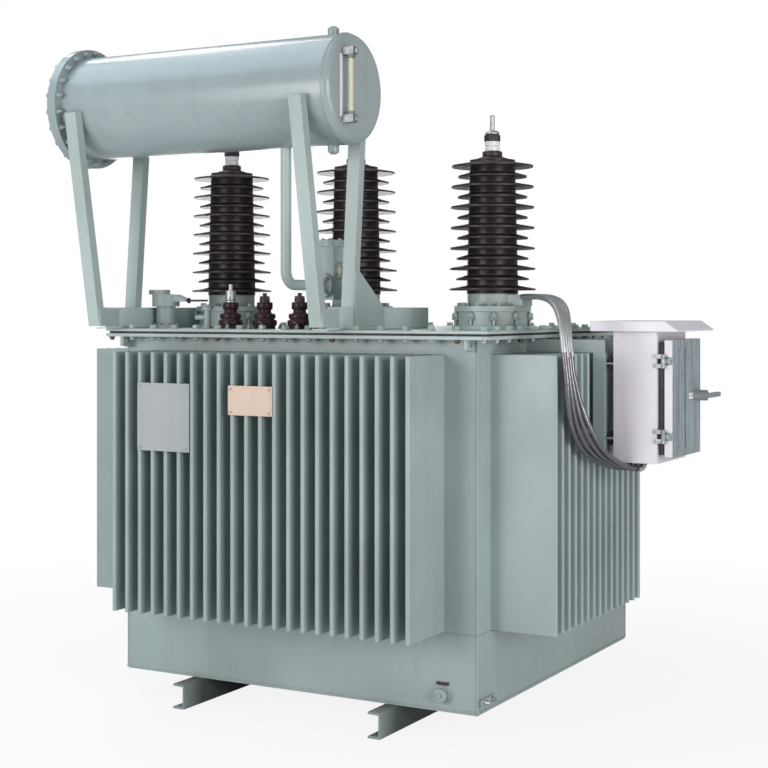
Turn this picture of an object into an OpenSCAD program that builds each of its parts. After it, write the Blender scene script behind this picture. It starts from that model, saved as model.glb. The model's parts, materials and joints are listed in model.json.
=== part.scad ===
// Oil-immersed power transformer with finned tank, conservator and terminal box.
// X runs along the long front wall, Y to the back, Z up from the floor it stands on.

/* [Base rails] */
// Height of the channel rails
rail_h = 90; // [70:1:140]
// Width of the rail flanges
rail_flange_w = 48; // [40:1:70]
// Thickness of the rail web
rail_web_t = 6; // [4:0.5:10]
// Thickness of the rail flanges at the web
rail_flange_t = 9; // [6:0.5:14]
// Thickness of the rail flanges at their edge
rail_edge_t = 7; // [4:0.5:9]
// Length of each rail
rail_len = 1676; // [1560:2:2000]
// Distance between the rows of fixing holes, left to right
rail_gauge = 820; // [660:10:1070]
// Distance of the fixing holes from the ends of a rail
rail_hole_inset = 58; // [30:1:90]
// Diameter of the fixing holes
rail_hole_d = 26; // [14:1:30]

/* [Tank] */
// Length of the tank body
tank_l = 1480; // [1440:2:1700]
// Width of the tank body
tank_w = 1424; // [1390:2:1550]
// Height from the underside of the floor to the top of the cover
tank_h = 1300; // [1260:2:1500]
// Thickness of the floor plate
floor_t = 10; // [6:1:16]
// Height of the skirt, floor included
skirt_h = 270; // [220:2:300]
// Thickness of the skirt plates
skirt_t = 8; // [6:0.5:14]
// Thickness of the wall panels
wall_t = 6; // [3:0.5:8]
// Thickness of the cover plate
cover_t = 10; // [8:1:20]
// Corner radius of the cover plate
cover_corner_r = 18; // [4:1:40]
// Thickness of the cover gasket
gasket_t = 8; // [4:0.5:12]
// How far the rim flange stands out from the walls
rim_w = 65; // [50:1:90]
// Thickness of the rim flange
rim_t = 12; // [8:1:20]
// How far the gasket stays behind the edge of the cover
gasket_back = 14; // [4:1:24]
// Width of the gasket inside the wall line
gasket_in = 30; // [10:1:60]
// Thickness of the lifting lugs
lug_t = 14; // [10:1:22]
// Height of the lifting lugs
lug_h = 42; // [34:1:48]
// How far the lifting lugs stand out
lug_out = 60; // [45:1:64]
// Diameter of the eye in a lifting lug
lug_eye_d = 18; // [12:1:22]
// Distance of the lifting lugs from the ends of the tank
lug_in = 8; // [0:1:30]

/* [Cooling fins] */
// Thickness of one fin
fin_t = 16; // [10:0.5:22]
// Thickness of the fin sheet
fin_sheet_t = 2; // [1:0.25:3]
// Distance from one fin to the next
fin_pitch = 57.8; // [45:0.1:60]
// Number of fins on the front and the back wall
long_fin_count = 22; // [12:1:22]
// Number of fins on each end wall
end_fin_count = 15; // [8:1:18]
// Depth of the front and back fins
long_fin_depth = 256; // [120:1:300]
// Depth of the end fins
end_fin_depth = 245; // [120:1:250]
// Distance from the front corner to the first end fin
end_fin_margin = 112; // [80:1:160]
// Distance from the skirt to the lower fin ends
fin_foot = 3; // [3:1:30]
// Distance from the upper fin ends to the rim flange
fin_head = 52; // [51:1:80]

/* [High-voltage bushings] */
// Place of the bushing row, front to back
hv_y = -250; // [-280:1:-200]
// Distance between the bushings
hv_pitch = 580; // [480:1:600]
// Diameter of the turret base flange
hv_base_d = 296; // [260:1:310]
// Thickness of the turret base flange
hv_base_t = 14; // [10:1:20]
// Diameter of the turret barrel
hv_turret_d = 270; // [220:1:280]
// Diameter of the turret top flange
hv_flange_d = 284; // [240:1:300]
// Thickness of the turret top flange
hv_flange_t = 20; // [12:1:26]
// Height of the turret, flanges included
hv_turret_h = 85; // [60:1:120]
// Diameter of the neck above the turret
hv_neck_d = 184; // [160:1:210]
// Height of the neck
hv_neck_h = 45; // [30:1:70]
// Width of the terminal box beside the third neck
ct_w = 90; // [84:1:110]
// How far that terminal box stands out from the neck
ct_out = 48; // [30:1:60]
// Height of that terminal box
ct_h = 42; // [30:1:44]
// Diameter of the insulator body at its foot
hv_core_d = 190; // [150:1:200]
// Diameter of the insulator body at its top
hv_core_top_d = 168; // [120:1:190]
// Diameter of the lowest large shed
hv_shed_d = 318; // [240:1:330]
// Diameter of the highest large shed
hv_shed_top_d = 300; // [220:1:320]
// How much smaller in diameter the small sheds are
hv_shed_step = 48; // [20:1:60]
// Number of sheds
hv_shed_count = 13; // [7:2:13]
// Distance between the sheds
hv_shed_pitch = 37.7; // [28:0.1:38]
// Thickness of a shed at its edge
hv_shed_tip_t = 6; // [3:0.5:9]
// Thickness of a shed at the body
hv_shed_root_t = 17; // [10:0.5:24]
// How far the shed edge droops below its root
hv_shed_droop = 9; // [0:0.5:14]
// Height of the insulator body below the lowest shed
hv_foot_h = 22; // [16:1:40]
// Diameter of the terminal cap
hv_cap_d = 74; // [60:1:90]
// Diameter of the terminal barrel
hv_barrel_d = 55; // [45:1:58]
// Diameter of the terminal nut
hv_nut_d = 60; // [58:1:70]
// Diameter of the terminal stud
hv_stud_d = 18; // [12:1:24]
// Free length of the terminal stud
hv_stud_l = 58; // [40:1:80]

/* [Low-voltage bushings] */
// Place of the low-voltage row, front to back
lv_y = -550; // [-580:1:-500]
// Place of the middle low-voltage bushing, left to right
lv_x = -223; // [-260:1:-215]
// Distance between the low-voltage bushings
lv_pitch = 155; // [120:1:160]
// Diameter of the low-voltage bushing skirt
lv_skirt_d = 92; // [70:1:96]
// Diameter of the low-voltage bushing head
lv_head_d = 52; // [40:1:66]
// Height of a low-voltage bushing
lv_h = 100; // [70:1:140]
// Diameter of the low-voltage studs
lv_stud_d = 16; // [10:1:24]
// Free length of the low-voltage studs
lv_stud_l = 24; // [16:1:40]
// Diameter of the cap on the first low-voltage stud
lv_cap_d = 38; // [28:1:46]
// Height of the cap on the first low-voltage stud
lv_cap_h = 44; // [20:1:60]

/* [Conservator] */
// Outer radius of the conservator barrel
cons_r = 192; // [170:1:200]
// Thickness of the conservator sheet
cons_t = 5; // [3:0.5:8]
// Left end of the barrel
cons_x0 = -858; // [-900:1:-850]
// Right end of the barrel
cons_x1 = 292; // [285:1:340]
// Place of the conservator axis, front to back
cons_y = -800; // [-840:1:-780]
// Height of the conservator axis over the cover
cons_axis_h = 835; // [800:1:860]
// Radius of the left end flange
cons_flange_r = 225; // [212:1:240]
// Thickness of the left end flange
cons_flange_t = 22; // [12:1:26]
// Thickness of the left end cover
cons_cover_t = 20; // [12:1:26]
// Corner radius of the right head
cons_knuckle_r = 30; // [15:1:40]
// Distance between the oil gauge fittings
gauge_span = 230; // [180:1:250]
// Width of an oil gauge fitting
gauge_w = 30; // [22:1:40]
// Height of an oil gauge fitting
gauge_block_h = 27; // [20:1:34]
// How far the oil gauge fittings stand out
gauge_out = 46; // [34:1:60]
// Diameter of the gauge glass
gauge_d = 17; // [10:1:19]
// Place of the oil gauge beside the axis, to the front
gauge_off = 90; // [0:1:95]
// Diameter of the filler and drain bosses
plug_d = 40; // [24:1:50]
// Height of the filler and drain bosses
plug_h = 24; // [14:1:40]
// Distance of the bosses from the right end of the barrel
plug_off = 64; // [40:1:100]

/* [Trestles] */
// Place of the left trestle
trestle_x_left = -764; // [-770:1:-758]
// Place of the right trestle
trestle_x_right = 208; // [200:1:225]
// Width of the trestle legs
leg_w = 50; // [40:1:60]
// Depth of the trestle legs
leg_d = 37; // [30:1:46]
// Thickness of the trestle channels
leg_t = 5; // [4:0.5:8]
// Height of the trestle base channels
base_h = 80; // [63:1:90]
// Flange width of the trestle base channels
base_w = 43; // [36:1:50]
// Place of the front leg foot, front to back
front_foot_y = -868; // [-890:1:-840]
// Height of the front leg foot over the cover
front_foot_h = 10; // [4:1:20]
// Place of the back leg foot, front to back
back_foot_y = -654; // [-680:1:-640]
// Back end of the trestle base channels
base_back_y = -90; // [-200:1:0]
// Thickness of the foot plates
foot_plate_t = 6; // [4:0.5:10]
// Length of the foot plates along the base channel
foot_plate_l = 110; // [80:1:140]
// Height of the gusset on the back leg
gusset_h = 130; // [90:1:160]

/* [Oil line] */
// Outer diameter of the oil pipe
pipe_d = 38; // [30:1:46]
// Place of the oil pipe, left to right
pipe_x = 32; // [28:1:50]
// Height of the level run over the cover
pipe_run_h = 160; // [140:1:200]
// Bend radius of the pipe centre line
pipe_bend_r = 50; // [40:1:50]
// Turn of the level run away from straight back, in degrees
pipe_turn = 6; // [0:1:8]
// Distance of the gas relay from the down pipe
relay_dist = 269; // [250:1:269]
// Length of the gas relay between its flanges
relay_l = 96; // [90:1:96]
// Width of the gas relay body
relay_w = 70; // [60:1:80]
// Height of the gas relay body
relay_h = 196; // [150:1:210]
// Drop of the relay body below the pipe centre
relay_drop = 52; // [45:1:70]
// Diameter of the relay cap
relay_cap_d = 88; // [74:1:96]
// Height of the relay cap
relay_cap_h = 24; // [14:1:30]
// Diameter of the pipe flanges
pipe_flange_d = 86; // [74:1:96]
// Thickness of the pipe flanges
pipe_flange_t = 10; // [8:1:14]

/* [Cover fittings] */
// Place of the relief device, left to right
relief_x = -688; // [-692:1:-660]
// Place of the relief device, front to back
relief_y = -545; // [-580:1:-540]
// Diameter of the relief device body
relief_d = 107; // [90:1:112]
// Height of the relief device body
relief_h = 47; // [36:1:70]
// Height of the body above the trestle base
relief_lift = 4; // [2:1:20]
// Diameter of the relief device cap
relief_cap_d = 83; // [60:1:90]
// Height of the relief device cap
relief_cap_h = 18; // [10:1:30]
// How far the cap stands to the left of the body
relief_cap_off = 31; // [0:1:34]
// Length of the arm on the right of the body
relief_arm_l = 53; // [30:1:70]
// Width of that arm
relief_arm_w = 40; // [24:1:50]
// Place of the cover valve, left to right
valve_x = -490; // [-520:1:-480]
// Height of the cover valve
valve_h = 82; // [60:1:110]
// Diameter of the cover valve body
valve_d = 44; // [34:1:56]

/* [Skirt fittings] */
// Distance of the drain valve from the right front corner
drain_off = 129; // [90:1:200]
// Height of the drain valve over the floor underside
drain_z = 60; // [45:1:120]
// Diameter of the drain valve body
drain_d = 38; // [30:1:60]
// How far the drain valve stands out
drain_out = 30; // [26:1:60]
// Length of the earth pad
earth_l = 110; // [60:1:130]
// Height of the earth pad
earth_h = 24; // [20:1:40]
// Thickness of the earth pad
earth_t = 10; // [6:1:16]
// Distance of the earth pad from the front corner
earth_off = 12; // [10:1:40]
// Height of the earth pad over the floor underside
earth_z = 28; // [24:1:60]

/* [Terminal box] */
// Distance of the box back from the tank end
box_gap = 330; // [322:1:350]
// Depth of the case, front of the back to the door side
box_d = 159; // [140:1:200]
// Place of the front side of the case
box_y0 = -300; // [-330:1:-280]
// Width of the case along the tank end
box_w = 312; // [290:1:400]
// Distance of the case top below the cover top
box_drop = 4; // [2:1:12]
// Height of the case
box_h = 458; // [420:1:480]
// Thickness of the case sheet
box_t = 3; // [2:0.5:5]
// Groove between the case and its door
door_gap = 25; // [18:0.5:32]
// Clearance between the collar in that groove and the door
collar_gap = 6; // [5:0.5:12]
// How far the collar stays behind the door outline
collar_in = 12; // [6:0.5:20]
// Distance of the door edge behind the case side at the hinges
door_side_gap = 5; // [5:0.5:12]
// Thickness of the door
door_t = 30; // [20:0.5:36]
// Thickness of the door sheet
door_sheet_t = 3; // [2:0.5:4]
// Distance of the door top below the case top
door_top = 28; // [10:1:40]
// Distance of the door foot above the case underside
door_foot = 22; // [8:1:40]
// Height of the roof
roof_h = 36; // [20:1:44]
// How far the roof reaches past the case in front
roof_over = 26; // [12:1:40]
// How far the roof reaches past the case at the back
roof_back_over = 74; // [30:1:90]
// Width of the sloping edge of the roof
roof_slope = 45; // [20:1:60]
// Radius of the hinge knuckles
knuckle_r = 7; // [5:0.5:9]
// Radius of the hinge pins
hinge_pin_r = 4; // [3:0.5:4.5]
// Length of one hinge
hinge_l = 48; // [42:3:90]
// Distance of the hinges from the door ends
hinge_inset = 74; // [50:1:100]
// Thickness of the hinge leaves
leaf_t = 3; // [2:0.5:3.5]
// Length of the hinge leaves on the case
leaf_l = 14; // [8:1:30]
// Length of the hinge leaves on the door
door_leaf_l = 22; // [18:1:28]
// Distance of the handle from the free edge of the door
handle_off = 65; // [50:1:110]
// Diameter of the handle boss
handle_boss_d = 38; // [30:1:50]
// How far the handle stands out from the door
handle_out = 62; // [45:1:70]
// Length of the handle lever
handle_l = 110; // [90:1:140]
// Height of the handle above the door foot
handle_lift = 207; // [160:1:240]
// Thickness of the handle lever
handle_t = 16; // [12:1:22]
// Radius of the handle shaft
handle_shaft_r = 8; // [6:0.5:10]
// Width of the bracket angles
angle_w = 44; // [36:1:50]
// Thickness of the bracket angles
angle_t = 6; // [4:0.5:8]
// Height of the bracket arms
arm_h = 46; // [36:1:46]
// Distance of the arm top below the rim flange
arm_drop = 4; // [1:0.5:4]
// Distance of the post foot above the case underside
post_foot = 40; // [20:1:80]
// Gap between a post and the case
post_gap = 32; // [20:1:36]
// Distance of the straps from the ends of a post
strap_inset = 40; // [20:1:80]
// Diameter of one conduit
conduit_d = 20; // [16:1:22]

/* [Hidden] */
$fn = 48;
// Clearance where a piece lies on a round one
seat = 0.3;
// How deep a welded plate is let into the piece that carries it
weld = 1;
// Clearance of hinge pins and shafts in their holes
run_gap = 0.05;
// Clearance between knuckles and between the handle and the door
slip = 1;
// Overlap of a cutting shape past the face that it cuts
cut = 1;
// Room between the hinge knuckles and the case side
hinge_room = 2;

floor_z = rail_h;
skirt_top = rail_h + skirt_h;
cover_top = rail_h + tank_h;
wall_top = cover_top - cover_t - gasket_t;
half_l = tank_l / 2;
half_w = tank_w / 2;
end_x = half_l + rim_w;
end_y = half_w + rim_w;
rim_low = wall_top - rim_t;
lug_x = half_l - lug_t - lug_in;
fin_z = skirt_top + fin_foot;
fin_h = rim_low - fin_head - fin_z;
cons_z = cover_top + cons_axis_h;
base_top = cover_top + base_h;
pipe_z = cover_top + pipe_run_h;
hv_neck_top = cover_top + hv_turret_h + hv_neck_h;
hv_shed_z = hv_neck_top + hv_foot_h;
hv_top = hv_shed_z + (hv_shed_count - 1) * hv_shed_pitch + hv_shed_root_t;
box_x0 = half_l + box_gap;
box_x1 = box_x0 + box_d;
box_y1 = box_y0 + box_w;
box_top = cover_top - box_drop;
box_low = box_top - box_h;
door_x = box_x1 + door_gap;
door_face = door_x + door_t;
door_low = box_low + door_foot;
door_high = box_top - door_top;
door_y0 = box_y0 + door_side_gap;
hinge_y = box_y0 - knuckle_r - hinge_room;
post_x0 = box_x0 - angle_w - post_gap;
handle_y = box_y1 - handle_off;
handle_z = door_low + handle_lift;

paint = [0.56, 0.63, 0.615];
pale_paint = [0.67, 0.75, 0.765];
porcelain = [0.17, 0.115, 0.12];
brown = [0.12, 0.07, 0.065];
zinc = [0.72, 0.73, 0.75];
lavender = [0.80, 0.785, 0.81];
galvanised = [0.49, 0.53, 0.545];
dark = [0.16, 0.17, 0.175];
glass_tint = [0.85, 0.82, 0.6, 0.5];

// Box from one corner to the opposite one
module block(low, high) {
    translate(low) cube(high - low);
}

// Cylinder along X from a point
module rod_x(at, d, l) {
    translate(at) rotate([0, 90, 0]) cylinder(d = d, h = l);
}

// Cylinder along Y from a point
module rod_y(at, d, l) {
    translate(at) rotate([-90, 0, 0]) cylinder(d = d, h = l);
}

// Rectangle centred on the origin with round corners
module round_plate(l, w, r) {
    square([l - 2 * r, w], center = true);
    square([l, w - 2 * r], center = true);
    for (x = [-1, 1], y = [-1, 1]) {
        translate([x * (l / 2 - r), y * (w / 2 - r)]) circle(r = r);
    }
}

// Channel rail with its web to the right and tapered flanges to the left
module base_rail(side) {
    web_x = side * rail_gauge / 2 + rail_flange_w / 2;
    color(paint) difference() {
        translate([web_x, -rail_len / 2, 0]) rotate([90, 0, 0]) mirror([0, 0, 1])
            linear_extrude(rail_len) polygon([
                [0, 0], [0, rail_h], [-rail_flange_w, rail_h], [-rail_flange_w, rail_h - rail_edge_t],
                [-rail_web_t, rail_h - rail_flange_t], [-rail_web_t, rail_flange_t],
                [-rail_flange_w, rail_edge_t], [-rail_flange_w, 0],
            ]);
        for (y = [-1, 1]) {
            translate([side * rail_gauge / 2, y * (rail_len / 2 - rail_hole_inset), -cut])
                cylinder(d = rail_hole_d, h = rail_h / 2);
        }
    }
}

module tank_floor() {
    color(paint) block([-half_l, -half_w, floor_z], [half_l, half_w, floor_z + floor_t]);
}

module tank_skirt() {
    color(paint) difference() {
        block([-half_l, -half_w, floor_z + floor_t], [half_l, half_w, skirt_top]);
        block([-half_l + skirt_t, -half_w + skirt_t, floor_z],
            [half_l - skirt_t, half_w - skirt_t, skirt_top + cut]);
    }
}

// Outline of one fin seen from above, standing on the X axis, with a folded edge
module fin_outline(t, depth) {
    translate([-t / 2, 0]) square([t, depth - t / 2]);
    translate([0, depth - t / 2]) circle(d = t);
}

// Wall panel from x0 to x1 with hollow folded fins standing out towards +Y
module fin_wall(x0, x1, first_fin, count, depth) {
    difference() {
        union() {
            block([x0, -wall_t, skirt_top], [x1, 0, wall_top]);
            translate([0, 0, fin_z]) linear_extrude(fin_h)
                for (i = [0 : count - 1]) {
                    translate([first_fin + i * fin_pitch, -wall_t / 2])
                        fin_outline(fin_t, depth + wall_t / 2);
                }
        }
        translate([0, 0, fin_z + fin_sheet_t]) linear_extrude(fin_h - 2 * fin_sheet_t)
            for (i = [0 : count - 1]) {
                translate([first_fin + i * fin_pitch, -wall_t - cut])
                    fin_outline(fin_t - 2 * fin_sheet_t, depth + wall_t + cut - fin_sheet_t);
            }
    }
}

module long_fin_wall() {
    fin_wall(-half_l, half_l, -(long_fin_count - 1) * fin_pitch / 2, long_fin_count, long_fin_depth);
}

module front_fin_wall() {
    color(paint) translate([0, -half_w, 0]) rotate([0, 0, 180]) long_fin_wall();
}

module back_fin_wall() {
    color(paint) translate([0, half_w, 0]) long_fin_wall();
}

module right_fin_wall() {
    color(paint) translate([half_l, 0, 0]) mirror([1, 0, 0]) rotate([0, 0, 90])
        fin_wall(-half_w + wall_t, half_w - wall_t, -half_w + end_fin_margin, end_fin_count, end_fin_depth);
}

module left_fin_wall() {
    mirror([1, 0, 0]) right_fin_wall();
}

module rim_flange() {
    color(paint) translate([0, 0, rim_low]) linear_extrude(rim_t) difference() {
        round_plate(2 * end_x, 2 * end_y, cover_corner_r);
        square([tank_l, tank_w], center = true);
    }
}

module lifting_lugs() {
    color(paint) for (x = [0, 1], y = [0, 1]) mirror([x, 0, 0]) mirror([0, y, 0])
        translate([lug_x, half_w, rim_low - seat - lug_h]) rotate([90, 0, 90]) linear_extrude(lug_t)
            difference() {
                polygon([[0, 0], [lug_out, lug_h / 6], [lug_out, lug_h], [0, lug_h]]);
                translate([lug_out / 2, lug_h * 0.6]) circle(d = lug_eye_d);
            }
}

module cover_gasket() {
    color(dark) translate([0, 0, wall_top]) linear_extrude(gasket_t) difference() {
        round_plate(2 * (end_x - gasket_back), 2 * (end_y - gasket_back), cover_corner_r);
        square([tank_l - 2 * gasket_in, tank_w - 2 * gasket_in], center = true);
    }
}

module tank_cover() {
    color(paint) translate([0, 0, cover_top - cover_t])
        linear_extrude(cover_t) round_plate(2 * end_x, 2 * end_y, cover_corner_r);
}

// Place of the high-voltage bushing number i, counted from the left
function hv_at(i) = [(i - 2) * hv_pitch, hv_y, 0];

module hv_turret(i) {
    color(paint) translate(hv_at(i)) rotate_extrude() polygon([
        [0, cover_top], [hv_base_d / 2, cover_top], [hv_base_d / 2, cover_top + hv_base_t],
        [hv_turret_d / 2, cover_top + hv_base_t],
        [hv_turret_d / 2, cover_top + hv_turret_h - hv_flange_t],
        [hv_flange_d / 2, cover_top + hv_turret_h - hv_flange_t],
        [hv_flange_d / 2, cover_top + hv_turret_h], [hv_neck_d / 2, cover_top + hv_turret_h],
        [hv_neck_d / 2, hv_neck_top], [0, hv_neck_top],
    ]);
}

// Terminal box of the current transformer, on the third turret beside its neck
module ct_box() {
    color(paint) translate(hv_at(3)) difference() {
        block([0, -ct_w / 2, cover_top + hv_turret_h],
            [hv_neck_d / 2 + ct_out, ct_w / 2, cover_top + hv_turret_h + ct_h]);
        cylinder(d = hv_neck_d + 2 * seat, h = hv_neck_top);
    }
}

// Radius of the insulator body at the height of a shed
function core_r(i) = (hv_core_d + (hv_core_top_d - hv_core_d) * i / (hv_shed_count - 1)) / 2;
// Radius of a shed, every second one being small
function shed_r(i) = (hv_shed_d + (hv_shed_top_d - hv_shed_d) * i / (hv_shed_count - 1)
    - (i % 2) * hv_shed_step) / 2;
// Height of a shed
function shed_z(i) = hv_shed_z + i * hv_shed_pitch;

module hv_bushing(i) {
    sheds = [for (k = [0 : hv_shed_count - 1]) each [
        [core_r(k), shed_z(k) - hv_shed_root_t / 2],
        [shed_r(k), shed_z(k) - hv_shed_droop],
        [shed_r(k), shed_z(k) - hv_shed_droop + hv_shed_tip_t],
        [core_r(k), shed_z(k) + hv_shed_root_t / 2],
    ]];
    color(porcelain) translate(hv_at(i)) rotate_extrude() polygon(concat(
        [[0, hv_neck_top], [core_r(0), hv_neck_top]], sheds,
        [[hv_core_top_d / 2, hv_top], [0, hv_top]]));
}

module hv_terminal(i) {
    cone_h = 14;
    cap_h = 18;
    barrel_h = 37;
    nut_h = 26;
    dome_h = 14;
    cone_d = hv_core_top_d - 40;
    cone_top_d = hv_cap_d - 8;
    nut_z = hv_top + cone_h + cap_h + barrel_h;
    color(zinc) translate(hv_at(i)) {
        translate([0, 0, hv_top]) cylinder(d1 = cone_d, d2 = cone_top_d, h = cone_h);
        translate([0, 0, hv_top + cone_h]) cylinder(d = hv_cap_d, h = cap_h);
        translate([0, 0, hv_top + cone_h + cap_h]) cylinder(d = hv_barrel_d, h = barrel_h);
        translate([0, 0, nut_z]) cylinder(d = hv_nut_d, h = nut_h);
        translate([0, 0, nut_z + nut_h]) cylinder(d1 = hv_barrel_d, d2 = hv_stud_d * 2, h = dome_h);
        translate([0, 0, nut_z + nut_h + dome_h]) cylinder(d = hv_stud_d, h = hv_stud_l);
    }
}

// Place of the low-voltage bushing number i, counted from the left
function lv_at(i) = [lv_x + (i - 2) * lv_pitch, lv_y, cover_top];

module lv_bushing(i) {
    skirt_r = lv_skirt_d / 2;
    foot_r = skirt_r - 8;
    neck_r = lv_head_d / 2;
    head_r = neck_r + 4;
    top_r = neck_r - 4;
    edge = 6;
    skirt_z = lv_h * 0.3;
    head_z = lv_h * 0.56;
    color(brown) translate(lv_at(i)) rotate_extrude() polygon([
        [0, 0], [foot_r, 0], [foot_r, skirt_z], [skirt_r, skirt_z + edge], [skirt_r, skirt_z + 2 * edge],
        [neck_r, head_z], [head_r, head_z + edge], [head_r, head_z + 2 * edge],
        [top_r, head_z + 3 * edge], [top_r, lv_h], [0, lv_h],
    ]);
}

module lv_terminal(i) {
    washer_h = 10;
    cap_h = i == 1 ? lv_cap_h : washer_h;
    color(zinc) translate(lv_at(i)) {
        translate([0, 0, lv_h]) cylinder(d = lv_cap_d, h = cap_h);
        translate([0, 0, lv_h + cap_h]) cylinder(d = lv_stud_d, h = lv_stud_l);
    }
}

module conservator_barrel() {
    color(pale_paint) translate([0, cons_y, cons_z]) rotate([0, 90, 0]) difference() {
        union() {
            translate([0, 0, cons_x0]) cylinder(r = cons_r, h = cons_x1 - cons_x0, $fn = 96);
            translate([0, 0, cons_x0]) cylinder(r = cons_flange_r, h = cons_flange_t, $fn = 96);
        }
        translate([0, 0, cons_x0 - cut])
            cylinder(r = cons_r - cons_t, h = cons_x1 - cons_x0 + 2 * cut, $fn = 96);
    }
}

module conservator_end_cover() {
    rib = cons_cover_t / 3;
    color(pale_paint) translate([cons_x0, cons_y, cons_z]) rotate([0, -90, 0]) {
        cylinder(r = cons_flange_r, h = cons_cover_t - rib, $fn = 96);
        translate([0, 0, cons_cover_t - rib]) cylinder(r = cons_flange_r - rib, h = rib, $fn = 96);
    }
}

// Flat right head with a rounded corner, as a pressed sheet
module conservator_head() {
    steps = 8;
    inner_r = cons_knuckle_r - cons_t;
    outside = [for (k = [0 : steps]) let (a = 90 * k / steps)
        [cons_r - cons_knuckle_r * (1 - cos(a)), cons_knuckle_r * sin(a)]];
    inside = [for (k = [steps : -1 : 0]) let (a = 90 * k / steps)
        [cons_r - cons_t - inner_r * (1 - cos(a)), inner_r * sin(a)]];
    color(pale_paint) translate([cons_x1, cons_y, cons_z]) rotate([0, 90, 0]) rotate_extrude($fn = 96)
        polygon(concat(outside, [[0, cons_knuckle_r], [0, inner_r]], inside));
}

gauge_face = cons_x1 + cons_knuckle_r;
gauge_y = cons_y - gauge_off;
gauge_glass_x = gauge_face + gauge_out - gauge_d;

module gauge_fittings() {
    color(zinc) for (z = [-1, 1]) {
        translate([gauge_face, gauge_y - gauge_w / 2, cons_z + z * gauge_span / 2 - gauge_block_h / 2])
            cube([gauge_out, gauge_w, gauge_block_h]);
    }
}

module gauge_glass() {
    color(glass_tint) translate([gauge_glass_x, gauge_y, cons_z - gauge_span / 2 + gauge_block_h / 2])
        cylinder(d = gauge_d, h = gauge_span - gauge_block_h);
}

module conservator_plugs() {
    color(pale_paint) difference() {
        union() {
            translate([cons_x1 - plug_off, cons_y, cons_z]) cylinder(d = plug_d, h = cons_r + plug_h);
            translate([cons_x1 - plug_off, cons_y, cons_z - cons_r - plug_h])
                cylinder(d = plug_d, h = cons_r);
        }
        rod_x([cons_x0, cons_y, cons_z], 2 * (cons_r + seat), cons_x1 - cons_x0);
    }
}

// Distance of a leg centre line from the conservator axis
leg_reach = cons_r + seat + leg_d / 2;
front_foot_z = cover_top + front_foot_h;
back_foot_z = base_top;

// Distance from a foot to the conservator axis
function foot_dist(y, z) = norm([cons_y - y, cons_z - z]);
// Lean of a leg from upright, touching the barrel on its front (side -1) or back (side 1)
function leg_lean(y, z, side) = atan((cons_y - y) / (cons_z - z)) + side * asin(leg_reach / foot_dist(y, z));
// Length of a leg from its foot to where it touches the barrel
function leg_length(y, z) = sqrt(pow(foot_dist(y, z), 2) - pow(leg_reach, 2));

front_lean = leg_lean(front_foot_y, front_foot_z, -1);
front_half = leg_d / 2 / cos(front_lean);
base_front_y = front_foot_y + front_half + tan(-front_lean) * (front_foot_z - cover_top) + seat;

// Channel leg on its foot with its web to the front
module leg(y, z, side) {
    lean = leg_lean(y, z, side);
    spare = leg_d;
    translate([0, y, z]) difference() {
        rotate([-lean, 0, 0]) translate([0, 0, -spare])
            linear_extrude(leg_length(y, z) + spare) difference() {
                square([leg_w, leg_d], center = true);
                translate([-leg_w / 2 + leg_t, -leg_d / 2 + leg_t]) square([leg_w - 2 * leg_t, leg_d]);
            }
        translate([-leg_w, -2 * leg_d, -2 * spare]) cube([2 * leg_w, 4 * leg_d, 2 * spare]);
    }
}

// Plate in the Y and Z plane, on the right of a leg
module side_plate(points) {
    translate([leg_w / 2 - weld, 0, 0]) rotate([90, 0, 90]) linear_extrude(foot_plate_t) polygon(points);
}

module trestle_legs(x, has_gusset) {
    plate_y0 = front_foot_y - leg_d / 2;
    plate_top = base_top - foot_plate_t;
    gusset_y0 = back_foot_y - leg_d / 2;
    color(paint) translate([x, 0, 0]) {
        leg(front_foot_y, front_foot_z, -1);
        side_plate([
            [plate_y0, front_foot_z], [plate_y0 + foot_plate_l, front_foot_z],
            [plate_y0 + foot_plate_l, plate_top], [plate_y0, plate_top],
        ]);
        leg(back_foot_y, back_foot_z, 1);
        if (has_gusset) side_plate([
            [gusset_y0, front_foot_z], [gusset_y0 + 2 * foot_plate_l, front_foot_z],
            [gusset_y0 + 2 * foot_plate_l, base_top], [gusset_y0 + leg_d, base_top + gusset_h],
            [gusset_y0 + leg_d / 3, base_top + gusset_h],
        ]);
    }
}

// Base channel on the cover, with its web to the right
module trestle_base(x) {
    color(paint) translate([x + leg_w / 2 - weld, base_front_y, cover_top])
        rotate([90, 0, 0]) mirror([0, 0, 1]) linear_extrude(base_back_y - base_front_y) polygon([
            [0, 0], [0, base_h], [-base_w, base_h], [-base_w, base_h - leg_t], [-leg_t, base_h - leg_t],
            [-leg_t, leg_t], [-base_w, leg_t], [-base_w, 0],
        ]);
}

relay_y0 = relay_dist - relay_l / 2;
relay_y1 = relay_dist + relay_l / 2;
riser_y = relay_y1 + pipe_flange_t + pipe_bend_r;

// Level run of the oil line, with the down pipe as its origin and Y along the run
module on_run() {
    translate([pipe_x, cons_y, 0]) rotate([0, 0, -pipe_turn]) children();
}

// Quarter bend from a vertical run to a level run towards the back
module elbow() {
    rotate([90, 0, 90]) rotate_extrude(angle = 90) translate([pipe_bend_r, 0]) circle(d = pipe_d);
}

module oil_pipe() {
    run_l = relay_y0 - pipe_flange_t - pipe_bend_r;
    color(paint) on_run() {
        difference() {
            translate([0, 0, pipe_z + pipe_bend_r]) cylinder(d = pipe_d, h = cons_z - pipe_z - pipe_bend_r);
            rotate([0, 0, pipe_turn]) rod_x([-cons_r, 0, cons_z], 2 * (cons_r + seat), 2 * cons_r);
        }
        translate([0, pipe_bend_r, pipe_z + pipe_bend_r]) rotate([180, 0, 0]) elbow();
        rod_y([0, pipe_bend_r, pipe_z], pipe_d, run_l);
        rod_y([0, relay_y0 - pipe_flange_t, pipe_z], pipe_flange_d, pipe_flange_t);
    }
}

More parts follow.
